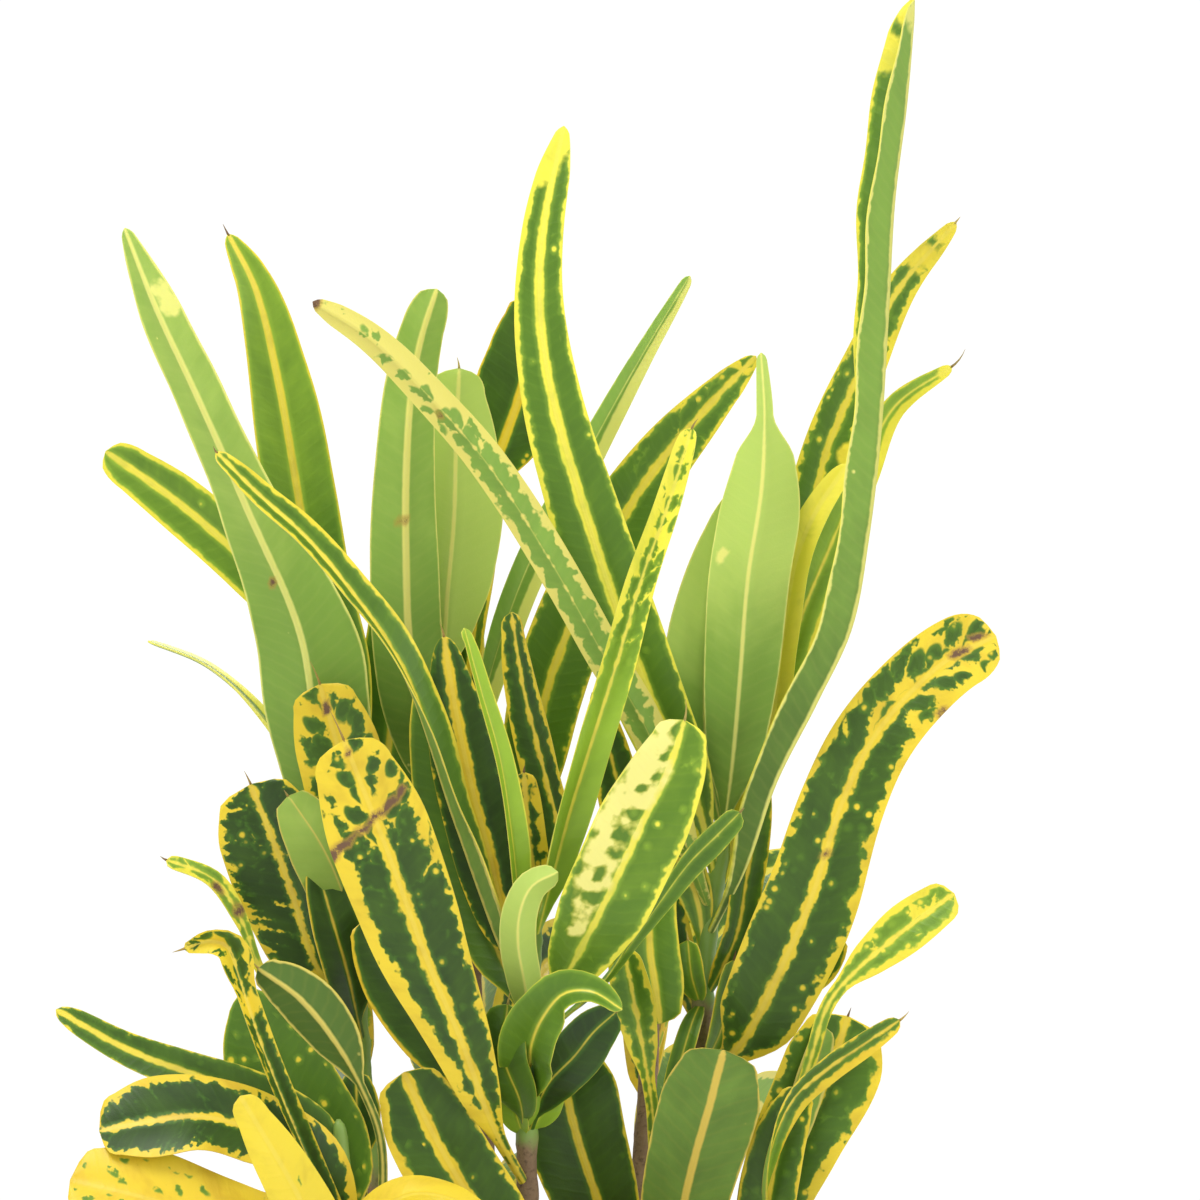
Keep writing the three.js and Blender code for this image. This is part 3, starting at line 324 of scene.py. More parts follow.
    ("middle_broad", "paddle", 15, 12, (0, 5), 0, 246, (0.48, 2, 0.6, 0.15, 0.05, 0.6),
     ((34, -9, 266), (28, -13, 276), (23, -15, 268), (22.5, -16, 253), (24, -16, 242), (25, -15, 234))),
    ("middle_twist", "spoon", 11, 20, (60, -20), 0, 180, (0.45, 1.6, 1.2, 0.6, 0.3, 0.6),
     ((24, -16, 198), (23, -21, 213), (21, -23, 226), (18.5, -24, 240), (16, -25, 253)),
     dict(base=(0.3, 0.5, 0.3, 0.6))),
    ("stub_left", "oval", 8, 20, (-20, -20), 0, 238, (0.5, 0.6, 0.3, 0.05, 0, 0.5),
     ((33, -12, 246), (32, -14, 255))),
    ("stub_right", "oval", 9, 20, (30, 30), 0, 222, (0.5, 0.6, 0.3, 0.05, 0, 0.5),
     ((40, -10, 232), (43.5, -11, 250))),
    ("middle_back", "sword", 13, 12, (10, 10), 0, 232, (0.12, 0.8, 0.9, 0.4, 0.05, 0.3),
     ((25, -5, 262), (16, -4, 288), (9, -4, 318))),
    ("crown_sliver", "strap", 6, 14, (-20, -20), 0, 240, (0.3, 0.6, 0.2, 0.05, 0, 0.5),
     ((33, -12, 234), (29.5, -15, 222), (26.5, -17, 210))),
    ("front_olive", "paddle", 25, 12, (178, 178), 0, 150, (0.18, 2, 0.4, 0.1, 0.05, 0.25),
     ((28, -22, 168), (30.5, -33, 187), (33.5, -38, 200), (37.2, -41, 213), (41, -42, 227.5)),
     dict(tip=(0, 0.5))),
    ("behind_lower", "paddle", 27, 10, (-10, -10), 5, 160, (0.15, 2.2, 0.5, 0.2, 0.05, 0.45),
     ((13.5, -4, 180), (7.8, -7, 195), (3.2, -9, 210), (-0.6, -10, 228))),
], "shoot_right_low": [
    ("right_spoon", "spoon", 12.5, 12, (0, 0), 15, 198, (0.6, 1.8, 1.6, 0.5, 0.3, 0.7),
     ((62.5, -33, 224.5), (68, -36, 240.5), (84, -38, 255.8), (98.6, -38, 266.6)),
     dict(base=(0.5, 0.5, 0.45, 0.7), tip=(0.5, 0.4), hair=0)),
    ("low_right_spotted", "paddle", 25, 12, (5, 5), 10, 160, (0.25, 2.6, 1.8, 0.8, 0.45, 0.4),
     ((52.5, -27, 188), (59.2, -27, 205), (67, -27, 221), (72, -27, 236)),
     dict(tip=(0.35, 0.2), margins=(0.6, 1.2))),
    ("low_right_twist", "ribbon", 8, 30, (90, 0), 0, 184, (0.25, 1.2, 0.9, 0.4, 0.1, 0.35),
     ((52, -36, 200), (58, -40, 215), (67, -42, 223), (76, -43, 229), (85, -43, 235)),
     dict(base=(0.7, 0.2, 0.2, 0.6), tip=(0.1, 0.5), margins=(0.3, 1.8), hair=3)),
    ("low_right_small", "oval", 8, 12, (180, 180), 0, 192, (0.4, 1, 0.6, 0.1, 0.05, 0.5),
     ((62, -30, 217), (66.5, -31, 233))),
    ("low_right_dark", "oval", 15, 12, (-15, -15), 10, 152, (0.2, 1.6, 0.8, 0.3, 0.2, 0.4),
     ((51, -31, 184), (55, -34, 204), (60.5, -35, 218))),
]}
# Outline, width, fold, height on the stem, heading (degrees from the front towards the right), length,
# rise at the base and at the tip in degrees, and roll about the midrib in degrees.
ARCHING = {"shoot_left": [
    ("paddle", 24, 12, 150, 226, 112, 30, -30, 12), ("paddle", 21, 12, 152, 286, 88, 24, -34, -14),
    ("strap", 19, 12, 170, 202, 118, 44, -14, -30), ("strap", 18, 12, 162, 240, 88, 38, -28, 20),
    ("paddle", 22, 12, 196, 204, 84, 46, -12, 30), ("strap", 17, 12, 212, 198, 98, 54, 0, -36),
    ("lance", 18, 14, 228, 206, 90, 60, 10, 34), ("oval", 18, 12, 246, 186, 88, 62, 18, -40),
    ("strap", 16, 14, 134, 258, 98, 20, -34, 8),
], "shoot_left_low": [
    ("paddle", 23, 12, 136, 300, 96, 24, -30, 10), ("strap", 18, 12, 126, 328, 94, 24, -34, -16),
    ("paddle", 20, 12, 122, 272, 90, 26, -30, 14),
], "shoot_centre": [
    ("strap", 18, 12, 138, 336, 92, 34, -30, 16), ("paddle", 22, 12, 150, 6, 86, 36, -28, -10),
    ("strap", 17, 12, 128, 22, 86, 26, -34, -18), ("paddle", 19, 12, 164, 348, 60, 40, -18, 12),
    ("paddle", 20, 12, 160, 40, 66, 34, -26, -20),
], "shoot_back": [
    ("paddle", 23, 12, 148, 206, 118, 28, -32, 10), ("strap", 18, 12, 166, 170, 116, 42, -20, -34),
    ("paddle", 22, 12, 184, 192, 104, 46, -16, 30), ("strap", 18, 12, 196, 182, 120, 50, -8, -38),
    ("oval", 19, 12, 212, 156, 98, 50, -6, 42), ("strap", 18, 14, 226, 202, 112, 56, 2, -30),
    ("lance", 18, 12, 244, 168, 108, 60, 8, 44), ("oval", 19, 12, 260, 206, 92, 64, 14, 36),
    ("sword", 17, 14, 274, 182, 110, 70, 28, -42), ("lance", 16, 14, 288, 194, 104, 78, 52, 40),
    ("strap", 15, 14, 294, 162, 92, 80, 60, -36),
], "shoot_right": [
    ("paddle", 22, 12, 124, 100, 92, 20, -34, 10), ("strap", 17, 12, 132, 74, 88, 22, -34, -14),
    ("paddle", 20, 12, 146, 122, 92, 26, -34, 22),
], "shoot_right_low": [
    ("strap", 18, 12, 134, 54, 86, 24, -32, -12), ("paddle", 21, 12, 126, 28, 84, 24, -34, 10),
    ("strap", 17, 12, 140, 4, 70, 30, -28, 18),
], "shoot_rear": [
    ("paddle", 24, 12, 140, 146, 104, 24, -34, 14), ("strap", 19, 12, 150, 178, 108, 34, -26, -24),
    ("paddle", 21, 12, 160, 118, 92, 30, -30, 30), ("paddle", 23, 12, 176, 154, 106, 44, -18, -34),
    ("strap", 18, 12, 190, 162, 84, 46, -14, 38), ("strap", 18, 12, 204, 176, 108, 52, -6, -40),
    ("oval", 20, 12, 220, 150, 98, 54, -2, 44), ("lance", 17, 12, 236, 126, 76, 58, 2, 34),
    ("lance", 18, 12, 248, 172, 102, 62, 10, -44), ("strap", 16, 14, 262, 146, 92, 68, 24, 40),
    ("sword", 16, 14, 274, 152, 92, 74, 40, -38),
]}


# ---- Curves ----
def ease(x):
    """From 0 to 1 with a soft start and end."""
    x = min(max(x, 0.0), 1.0)
    return x * x * (3 - 2 * x)


def circle(sides, radius, z=0.0, x=0.0, y=0.0):
    turns = [2 * math.pi * k / sides for k in range(sides)]
    return [(x + radius * math.cos(turn), y + radius * math.sin(turn), z) for turn in turns]


def hermite(a, b, m, n, w):
    """A smooth step from a to b that leaves with the slope m and arrives with n."""
    return a + m * w + (3 * (b - a) - 2 * m - n) * w**2 + (2 * (a - b) + m + n) * w**3


class Route:
    """A smooth curve through points, read by the share of its length."""

    SAMPLES = 200

    def __init__(self, points):
        self.points = [Vector(p) for p in points]
        self.knots = np.linspace(0, 1, self.SAMPLES + 1)
        walked = [self.at_knot(t) for t in self.knots.tolist()]
        self.travelled = np.cumsum([0.0] + [(b - a).length for a, b in zip(walked, walked[1:])])
        self.length = float(self.travelled[-1])

    def at_knot(self, t):
        points = self.points
        last = len(points) - 1
        i = min(int(t * last), last - 1)
        p1, p2 = points[i], points[i + 1]
        p0 = points[i - 1] if i > 0 else 2 * p1 - p2
        p3 = points[i + 2] if i + 2 <= last else 2 * p2 - p1
        d0, d1, d2 = (math.sqrt((b - a).length) for a, b in ((p0, p1), (p1, p2), (p2, p3)))
        m1 = ((p1 - p0) / d0 - (p2 - p0) / (d0 + d1) + (p2 - p1) / d1) * d1
        m2 = ((p2 - p1) / d1 - (p3 - p1) / (d1 + d2) + (p3 - p2) / d2) * d1
        return hermite(p1, p2, m1, m2, t * last - i)

    def at(self, share):
        return self.at_knot(float(np.interp(share * self.length, self.travelled, self.knots)))

    def along(self, share):
        step = 0.0005
        return (self.at(share + step) - self.at(share - step)).normalized()

    def at_height(self, height):
        low, high = 0.0, 1.0
        for _ in range(30):
            middle = (low + high) / 2
            low, high = (middle, high) if self.at(middle).z < height else (low, middle)
        return self.at(low)


def in_depth(place):
    """A place stated as seen from EYE in the plane y = 0, moved along that sight line to its depth."""
    x, y, z = place
    reach = (y - EYE.y) / -EYE.y
    return Vector((blend(EYE.x, x, reach), y, blend(EYE.z, z, reach)))


def facing(degrees, tilt):
    """The direction that is so many degrees from the front towards the right, tilted up."""
    turn, rise = math.radians(degrees), math.radians(tilt)
    return Vector((math.sin(turn) * math.cos(rise), -math.cos(turn) * math.cos(rise), math.sin(rise)))


def spread_at(outline, share):
    """Half-width of an outline, from 0 to 1, as a smooth curve closed by a round or pointed tip."""
    shares, spreads = OUTLINES[outline]
    closing = (share - shares[-2]) / (1 - shares[-2])
    if closing > 0:
        if outline in ROUND_TIPS:
            return spreads[-2] * math.sqrt(max(0.0, 1 - closing**2))
        return spreads[-2] * max(0.0, 1 - closing**1.4)
    slopes = [(b - a) / (t - s) for s, t, a, b in zip(shares, shares[1:], spreads, spreads[1:])]

    def bend(k):
        if not 0 < k < len(slopes) or slopes[k - 1] * slopes[k] <= 0:
            return 0.0
        return 2 / (1 / slopes[k - 1] + 1 / slopes[k])

    i = max(k for k in range(len(slopes)) if shares[k] <= share)
    gap = shares[i + 1] - shares[i]
    return hermite(spreads[i], spreads[i + 1], bend(i) * gap, bend(i + 1) * gap, (share - shares[i]) / gap)


# ---- Meshes ----
def tube(first, rings, sides):
    """Faces between rings of vertices, which start at the vertex `first`, and then a cap at each end."""
    def at(r, k):
        return first + r * sides + k % sides

    walls = [(at(r, k), at(r, k + 1), at(r + 1, k + 1), at(r + 1, k))
             for r in range(rings - 1) for k in range(sides)]
    return walls + [tuple(at(0, -k) for k in range(sides)), tuple(at(rings - 1, k) for k in range(sides))]


def add_object(name, data):
    made = bpy.data.objects.new(name, data)
    bpy.context.scene.collection.objects.link(made)
    return made


def add_mesh(name, verts, faces):
    mesh = bpy.data.meshes.new(name)
    mesh.from_pydata([[c * MM for c in v] for v in verts], [], faces)
    return add_object(name, mesh)


def add_piece(name, verts, faces, material, node, slot):
    piece = add_mesh(name, verts, faces)
    piece.data.validate()
    piece.data.materials.append(material)
    piece.data.shade_smooth()
    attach(piece, "root")
    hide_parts(node)
    return piece


def write_values(mesh, key, values):
    mesh.attributes.new(key, "FLOAT", "POINT").data.foreach_set("value", values)


# ---- Leaves ----
# Places round a blade: over its upper side from left to right, and back along its underside. They crowd
# at the margins.
CROWDING = 0.96 * math.pi / 2
ACROSS = [math.sin(CROWDING * (2 * j / (COLUMNS - 1) - 1)) / math.sin(CROWDING) for j in range(COLUMNS)]
AROUND = ACROSS + ACROSS[::-1]
# Where the faces round a blade lie across the texture: upper side, rim, underside and rim.
UPPER = [0.02 + 0.45 * j / (COLUMNS - 1) for j in range(COLUMNS)]
UNDER = [0.51 + u for u in reversed(UPPER)]
STRIPS = [*zip(UPPER, UPPER[1:]), (0.496, 0.504), *zip(UNDER, UNDER[1:]), (0.492, 0.484)]


def box(left, low, right, high):
    return [(left, low), (right, low), (right, high), (left, high)]


def blade_rings(route, outline, width, fold, up, rng):
    """Along a blade: share of the length, half-width and the points round it."""
    stations = max(FEWEST_STATIONS, int(route.length / STATION_GAP))
    ripple, wavelength = rng.uniform(0.02, 0.05), rng.uniform(22, 38)
    phases = (rng.uniform(0, 6.28), rng.uniform(0, 6.28))
    for i in range(stations + 1):
        s = 1 - (1 - i / stations) ** 1.25
        centre, along = route.at(s), route.along(s)
        normal = up(s)
        normal = (normal - along * normal.dot(along)).normalized()
        side = along.cross(normal)
        spread = spread_at(outline, s)
        half = blend(PETIOLE_WIDTH, width, spread) / 2 * min(1.0, (1 - s) * route.length / 1.2 + 0.12)
        blade = ease(spread / 0.15)
        thick = blend(PETIOLE_THICKNESS, BLADE_THICKNESS, min(1, s / PETIOLE_END)) / 2
        if s > PETIOLE_END:
            thick = max(thick * (1 - blade), BLADE_THICKNESS / 2)
        bend = math.radians(fold) * min(1, spread * 4)
        ring = []
        for k, u in enumerate(AROUND):
            x = half * u
            wave = math.sin(s * route.length / wavelength * 6.28 + phases[u > 0])
            lift = math.sin(bend) * (math.sqrt(x * x + 1.0) - 1.0)
            lift += blade * half * (ARCH * (1 - (2 * abs(u) - 1) ** 2) + ripple * abs(u) ** 3 * wave)
            body = thick * blend(math.sqrt(max(0.0, 1 - u * u)), 1 - 0.45 * abs(u), blade)
            if k < COLUMNS:
                lift += body - blade * GROOVE_DEPTH * math.exp(-((x / GROOVE_WIDTH) ** 2))
            else:
                lift -= body + blade * KEEL_HEIGHT * math.exp(-((x / KEEL_WIDTH) ** 2)) * min(1, half / 5)
            ring.append(centre + side * (x * math.cos(bend)) + normal * lift)
        yield s, half, ring


def hair_points(route, length, rng):
    """Rings of points round the dry hair at a leaf's tip."""
    root, along = route.at(0.997), route.along(0.99)
    droop = Vector((rng.uniform(-0.4, 0.4), rng.uniform(-0.4, 0.4), rng.uniform(-0.2, 0.5)))
    one = along.orthogonal().normalized()
    two = along.cross(one)
    for r in range(HAIR_RINGS):
        t = r / (HAIR_RINGS - 1)
        centre = root + (along + droop * t * 0.6) * (length * t)
        for x, y, _ in circle(HAIR_SIDES, blend(HAIR_BASE, HAIR_TIP, t)):
            yield centre + one * x + two * y


def nearness(spots, s, half, u, length):
    """How far inside the nearest round spot a place on a blade is, from 0 to 1."""
    depths = [1.6 - math.hypot((s - at) * length, (u - place) * half) / radius for at, place, radius in spots]
    return min(max([0.0] + depths), 1.0)


def leaf_values(look, apart, rings, length, hair_count, seed):
    """What the finish reads at each vertex of a blade, and then of its hair."""
    tone, rib, edge, bleed, dots, lemon = look
    # The tone near the stalk is mostly painted shade, darker where the inside of the plant is shaded; on a
    # few leaves it is their own lighter green.
    base_tone_and_shade, kept, begin, finish = apart.get("base", (tone, 1, 0, 1))
    yellowing, start = apart.get("tip", (0.25 * bleed, 0.45))
    edges, bars = apart.get("margins", (1, 1)), apart.get("bars", (0, 0))
    rows = []
    for s, half, _ in rings:
        settled = ease((s - begin) / (finish - begin))
        calm = blend(kept, 1, settled)
        # The margin's yellow fades where the blade narrows to its stalk.
        opened = blend(0.35, 1, ease((half - PETIOLE_WIDTH / 2) / 2.5))
        row = {
            "half": half, "along": s * length, "tone": blend(base_tone_and_shade, tone, settled), "rib": rib,
            "bleed": bleed * calm, "dots": dots * calm, "lemon": lemon, "seed": seed,
            "tipward": yellowing * ease((s - start) / 0.5),
        }
        for k, u in enumerate(AROUND):
            right = ease(u * 2 + 0.5)
            marks = {key: nearness(apart.get(key, ()), s, half, u, length)
                     for key in ("scar", "patch", "island")}
            rows.append({**row, **marks, "across": u, "upper": float(k < COLUMNS),
                         "edge": blend(*edges, right) * edge * opened * calm, "bars": blend(*bars, right)})
    hair = {**rows[-1], "across": 0, "half": 0.5, "edge": edges[1] * edge, "bars": bars[1],
            "tipward": yellowing, "scar": 0.6, "patch": 0, "island": 0}
    return rows + [hair] * hair_count


def leaf_piece(name, node, route, outline, width, fold, up, look, apart, seed):
    """A blade of fine quads with a thin rim, and the hair at its tip."""
    rng = random.Random(seed)
    rings = list(blade_rings(route, outline, width, fold, up, rng))
    sides, last = len(AROUND), len(rings) - 1
    verts = [point for _, _, ring in rings for point in ring]
    faces = tube(0, len(rings), sides)
    levels = [0.02 + 0.96 * i / last for i in range(last + 1)]
    uvs = [box(a, low, b, high) for low, high in zip(levels, levels[1:]) for a, b in STRIPS]
    uvs += [[(0.5, level)] * sides for level in (levels[0], levels[-1])]
    hair = apart.get("hair", rng.choice((0, 0, 2, 3)))
    if hair:
        faces += tube(len(verts), HAIR_RINGS, HAIR_SIDES)
        verts += hair_points(route, hair, rng)
        uvs += [box(0.985, 0.5 + r / 100, 0.99, 0.51 + r / 100)
                for r in range(HAIR_RINGS - 1) for _ in range(HAIR_SIDES)]
        uvs += [[(0.985, level)] * HAIR_SIDES for level in (0.5, 0.55)]
    piece = add_piece(f"leaf_{name}", verts, faces, CROTON_LEAF, node, "foliage")
    mesh = piece.data
    layer = mesh.uv_layers.new(name="OFBake")
    layer.data.foreach_set("uv", [c for face in uvs for pair in face for c in pair])
    blade_count = len(rings) * sides
    rows = leaf_values(look, apart, rings, route.length, len(verts) - blade_count, rng.uniform(0, 100))
    for key in rows[0]:
        write_values(mesh, key, [row[key] for row in rows])
    # The rim is crisp, so that it doesn't shade the two faces.
    rims = {0, COLUMNS - 1, COLUMNS, sides - 1}
    for line in mesh.edges:
        a, b = sorted(line.vertices)
        lengthwise = a % sides == b % sides and a % sides in rims
        if b < blade_count and (lengthwise or b < sides or a >= blade_count - sides):
            line.use_edge_sharp = True


# ---- Node trees ----
class Wire:
    """An output in a node tree. A sum with it adds the nodes that work the sum out."""

    def __init__(self, nodes, socket):
        self.nodes, self.socket = nodes, socket

    def __getitem__(self, name):
        """Another output of the same node."""
        return Wire(self.nodes, self.socket.node.outputs[name])

    def __rsub__(self, other):
        return self.nodes.math("SUBTRACT", other, self)


for sign, operation in (("add", "ADD"), ("sub", "SUBTRACT"), ("mul", "MULTIPLY"), ("truediv", "DIVIDE"),
                        ("pow", "POWER")):
    setattr(Wire, f"__{sign}__", lambda a, b, operation=operation: a.nodes.math(operation, a, b))


class Nodes:
    """Short calls for building a node tree."""

    def __init__(self, tree):
        self.tree = tree

    def put(self, socket, value):
        if isinstance(value, Wire):
            self.tree.links.new(value.socket, socket)
        else:
            socket.default_value = rgb(value) if isinstance(value, str) else value

    def add(self, kind, out, inputs=(), **settings):
        """A new node with its inputs, by name or in order, and its settings; gives one output of it."""
        node = self.tree.nodes.new(kind)
        for key, value in settings.items():
            setattr(node, key, value)
        for key, value in inputs.items() if isinstance(inputs, dict) else enumerate(inputs):
            self.put(node.inputs[key], value)
        return Wire(self, node.outputs[out])

    def math(self, operation, *values, clamp=False):
        return self.add("ShaderNodeMath", 0, values, operation=operation, use_clamp=clamp)

    def most(self, *values):
        return reduce(lambda a, b: self.math("MAXIMUM", a, b), values)

    def least(self, a, b):
        return self.math("MINIMUM", a, b)

    def mix(self, share, a, b):
        return self.add("ShaderNodeMix", 2, {0: share, 6: a, 7: b}, data_type="RGBA")

    def ramp(self, value, low, high):
        """0 below low, 1 above high, smooth between."""
        return self.add("ShaderNodeMapRange", 0, (value, low, high, 0, 1), interpolation_type="SMOOTHSTEP")

    def noise(self, place, scale, detail, roughness=0.5):
        inputs = {"Vector": place, "Scale": scale, "Detail": detail, "Roughness": roughness}
        return self.add("ShaderNodeTexNoise", "Fac", inputs)

    def vector(self, *parts):
        return self.add("ShaderNodeCombineXYZ", 0, parts)

    def value(self, name):
        return self.add("ShaderNodeAttribute", "Fac", attribute_name=name)

    def place(self):
        return self.add("ShaderNodeTexCoord", "Object")

    def grain(self, place, fine, broad):
        return self.add("ShaderNodeGroup", 0, {"Place": place, "Fine": fine, "Broad": broad}, node_tree=GRAIN)


def rgb(text):
    """A colour from its screen value, as light."""
    parts = [int(text[i : i + 2], 16) / 255 for i in (0, 2, 4)]
    return (*[c / 12.92 if c <= 0.04045 else ((c + 0.055) / 1.055) ** 2.4 for c in parts], 1.0)


def group(name, inputs, outputs, make):
    """A node group, made by a function that takes its inputs and gives its outputs."""
    tree = bpy.data.node_groups.new(name, "ShaderNodeTree")
    for way, labels in (("INPUT", inputs), ("OUTPUT", outputs)):
        for label in labels.split():
            kind = "NodeSocketVector" if label == "Place" else "NodeSocketFloat"
            tree.interface.new_socket(label, in_out=way, socket_type=kind)
    n = Nodes(tree)
    given = n.add("NodeGroupInput", 0)
    sockets = tree.nodes.new("NodeGroupOutput").inputs
    made = make(n, *(given[label] for label in inputs.split()))
    for label, value in zip(outputs.split(), made):
        n.put(sockets[label], value)
    return tree


def variegation(n, across, half, along, rib, edge, bleed, dots, bars, tipward, seed):
    """Where a croton's blade is yellow: the midrib's band, the margin, blotches between them and dots."""
    x = across * half
    reach = n.math("ABSOLUTE", x)
    inset = half - reach
    slant = along - reach * 0.55
    level = n.vector(x, along, seed)
    blotch = n.noise(level, 0.3, 1) - 0.5
    fleck = n.noise(level, 0.8, 1) - 0.5
    stroke = n.noise(n.vector(x * 0.13, slant * 0.42, seed), 1, 1) - 0.5
    spread = blotch * (1 - bars) + stroke * bars
    drift = fleck * 0.3 + spread
    shake = drift * (bars * 10 + 7) * bleed
    band = rib * 0.5 * (n.least(half / 8, 1) * 0.6 + 0.4)
    on_rib = shake * 0.5 + (band - reach)
    on_edge = n.least(shake + (edge - inset), shake + 1.2)
    within = tipward * 0.8 + (shake - 2.4)
    # Green islands, which shrink where the leaf turns yellow.
    place = n.vector(seed * 7.3 + (fleck * 2 + x), seed * 3.1 + (blotch * 3 + slant), 0)
    islands = n.add("ShaderNodeTexVoronoi", "Distance", {"Vector": place, "Scale": 0.18, "Randomness": 0.85},
                    feature="F1", voronoi_dimensions="2D")
    gap = fleck * 0.3 + islands - (tipward * -1.1 + 1.22)
    core = band * 0.7 - reach
    seam = n.least(edge * 0.4, 0.4) - inset
    # Round dots, more of them near the margin.
    cells = n.add("ShaderNodeTexVoronoi", "Distance", {"Vector": level, "Scale": 0.3}, feature="F1")
    lot = n.add("ShaderNodeSeparateColor", 0, (cells["Color"],))
    chance = dots * (n.ramp(inset, 4.5, 1) + 0.6)
    size = n.least((chance - lot) * 0.9, 0.16) + 0.08
    dot = (fleck * 0.16 + size - cells) * 3.3 - n.math("LESS_THAN", size, 0.08) * 9
    depth = n.most(on_rib, on_edge, within, gap * 5, core, seam, dot)
    swell = n.math("SINE", (spread * 1.5 + slant) * (2 * math.pi / 3.4))
    return (
        n.ramp(depth, -0.25, 0.35), n.ramp(depth, -1.3, 0.1), n.ramp(0.55 - reach, -0.3, 0.3),
        (swell * 0.5 + 0.5) ** 5, drift, n.vector(x, slant, seed),
    )


BLADE_INPUTS = "Across Half Along Rib Edge Bleed Dots Bars Tipward Seed"
VARIEGATION = group("variegation", BLADE_INPUTS, "Yellow Fringe Midrib Veins Drift Place", variegation)
# Fine grain and broad mottling, for roughness, colour and bump.
GRAIN = group("grain", "Place Fine Broad", "Grain Mottle", lambda n, place, fine, broad: (
    n.noise(place, fine, 3, 0.6), n.noise(place, broad, 3, 0.55)))


# ---- Finishes ----
def finish(name, make, **sheen):
    """A material by a function that gives its colour, its roughness, and its relief's height and depth."""
    material = bpy.data.materials.new(name)
    material.use_nodes = True
    n = Nodes(material.node_tree)
    colour, roughness, (height, strength, depth) = make(n)
    relief = n.add("ShaderNodeBump", 0, {"Height": height, "Strength": strength, "Distance": depth})
    for key, value in {"Base Color": colour, "Roughness": roughness, "Normal": relief, **sheen}.items():
        n.put(material.node_tree.nodes["Principled BSDF"].inputs[key], value)
    return material


def leaf_skin(n):
    pattern = n.add("ShaderNodeGroup", 0, [n.value(label.lower()) for label in BLADE_INPUTS.split()],
                    node_tree=VARIEGATION)
    grain = n.grain(pattern["Place"], 2.2, 0.12)
    upper, lemon, scar = n.value("upper"), n.value("lemon"), n.value("scar")
    tone = (grain["Mottle"] - 0.5) * 0.3 + n.value("tone")
    patch = n.math("SUBTRACT", n.value("patch"), n.value("island"), clamp=True)
    patch = n.ramp(pattern["Drift"] * patch * 1.6 + patch, 0.3, 0.8)
    yellow = n.most(pattern["Yellow"], patch)
    green = n.mix(n.ramp(tone, -0.1, 0.5), "263c18", "5a8022")
    green = n.mix(n.ramp(tone, 0.4, 1), green, "a3c43c")
    pale_green = n.mix(n.ramp(tone, 0, 0.7), "4f7f22", "a0bf3c")
    green = n.mix(pattern["Fringe"] * 0.6, green, pale_green)
    green = n.mix(pattern["Veins"] * 0.06, green, pale_green)
    gold = n.mix(lemon, "e8bd24", "f3ea4e")
    gold = n.mix(n.ramp(grain["Mottle"], 0.45, 0.75), gold, n.mix(lemon, "dba51c", "dcdc4a"))
    gold = n.mix(patch * n.ramp(lemon, 0.96, 0.99), gold, "f8f08c")
    gold = n.mix(n.most(n.ramp(grain["Grain"], 0.66, 0.74) * (0.5 - lemon), 0), gold, "9a6a2c")
    gold = n.mix(pattern["Midrib"] * 0.2, gold, "f2e27a")
    back = n.mix(n.ramp(tone, 0, 0.55), "56732c", "88ac46")
    back = n.mix(n.ramp(tone, 0.5, 1), back, "b9d164")
    cream = n.mix(lemon, "d2a838", "eeee84")
    under = n.mix(pattern["Veins"] * 0.03, n.mix(yellow * 0.92, back, cream), cream)
    leaf = n.mix(upper, under, n.mix(yellow, green, gold))
    torn = (pattern["Drift"] + (grain["Grain"] - 0.5)) * scar * 1.3 + scar
    brown = n.ramp(torn, 0.35, 0.8)
    leaf = n.mix(brown, n.mix(n.ramp(torn, 0.05, 0.45) * 0.6, leaf, "b8923e"), "735640")
    gloss = brown * 0.2 + (grain["Mottle"] * 0.12 + (upper * -0.22 + 0.56))
    raised = pattern["Midrib"] * 0.8 + (grain["Grain"] * 0.35 + pattern["Veins"] * (upper * 0.18 + 0.12))
    return leaf, gloss, (raised, 0.35, 0.0003)


def stem_skin(n):
    grain = n.grain(n.place(), 900, 120)
    wood = n.ramp(n.value("wood") + (grain["Mottle"] - 0.5) * 0.7, 0.35, 0.65)
    bark = n.mix(grain["Mottle"], "6d5340", "a38868")
    bark = n.mix(n.ramp(grain["Grain"], 0.5, 0.75) * 0.6, bark, "453226")
    green = n.mix(grain["Mottle"], "6f9440", "98b455")
    return n.mix(wood, green, bark), wood * 0.35 + 0.45, (grain["Grain"] * wood, 0.6, 0.0005)


def clay_skin(n):
    place = n.place()
    grain = n.grain(place, 700, 22)
    clay = n.mix(grain["Mottle"], "a4552f", "c57a52")
    clay = n.mix(n.ramp(grain["Grain"], 0.55, 0.8) * 0.35, clay, "8a4527")
    bloom = n.ramp(n.noise(place, 9, 5, 0.65), 0.55, 0.75) * 0.35
    turned = n.add("ShaderNodeTexWave", "Fac", {"Vector": place, "Scale": 160, "Distortion": 1.5},
                   bands_direction="Z", wave_profile="SIN")
    relief = (turned * 0.15 + grain["Grain"], 0.35, 0.0004)
    return n.mix(bloom, clay, "d9b79c"), grain["Grain"] * 0.2 + 0.68, relief


def soil_skin(n):
    grain = n.grain(n.place(), 1500, 180)
    earth = n.mix(grain["Mottle"], "231a13", "54402f")
    earth = n.mix(n.ramp(grain["Grain"], 0.6, 0.75) * 0.5, earth, "7b6549")
    return earth, grain["Grain"] * 0.15 + 0.82, (grain["Grain"], 0.8, 0.0008)


def floor_skin(n):
    return n.mix(n.noise(n.place(), 6, 3), "f4f4f2", "eeeeec"), 0.9, (0, 0, 0)


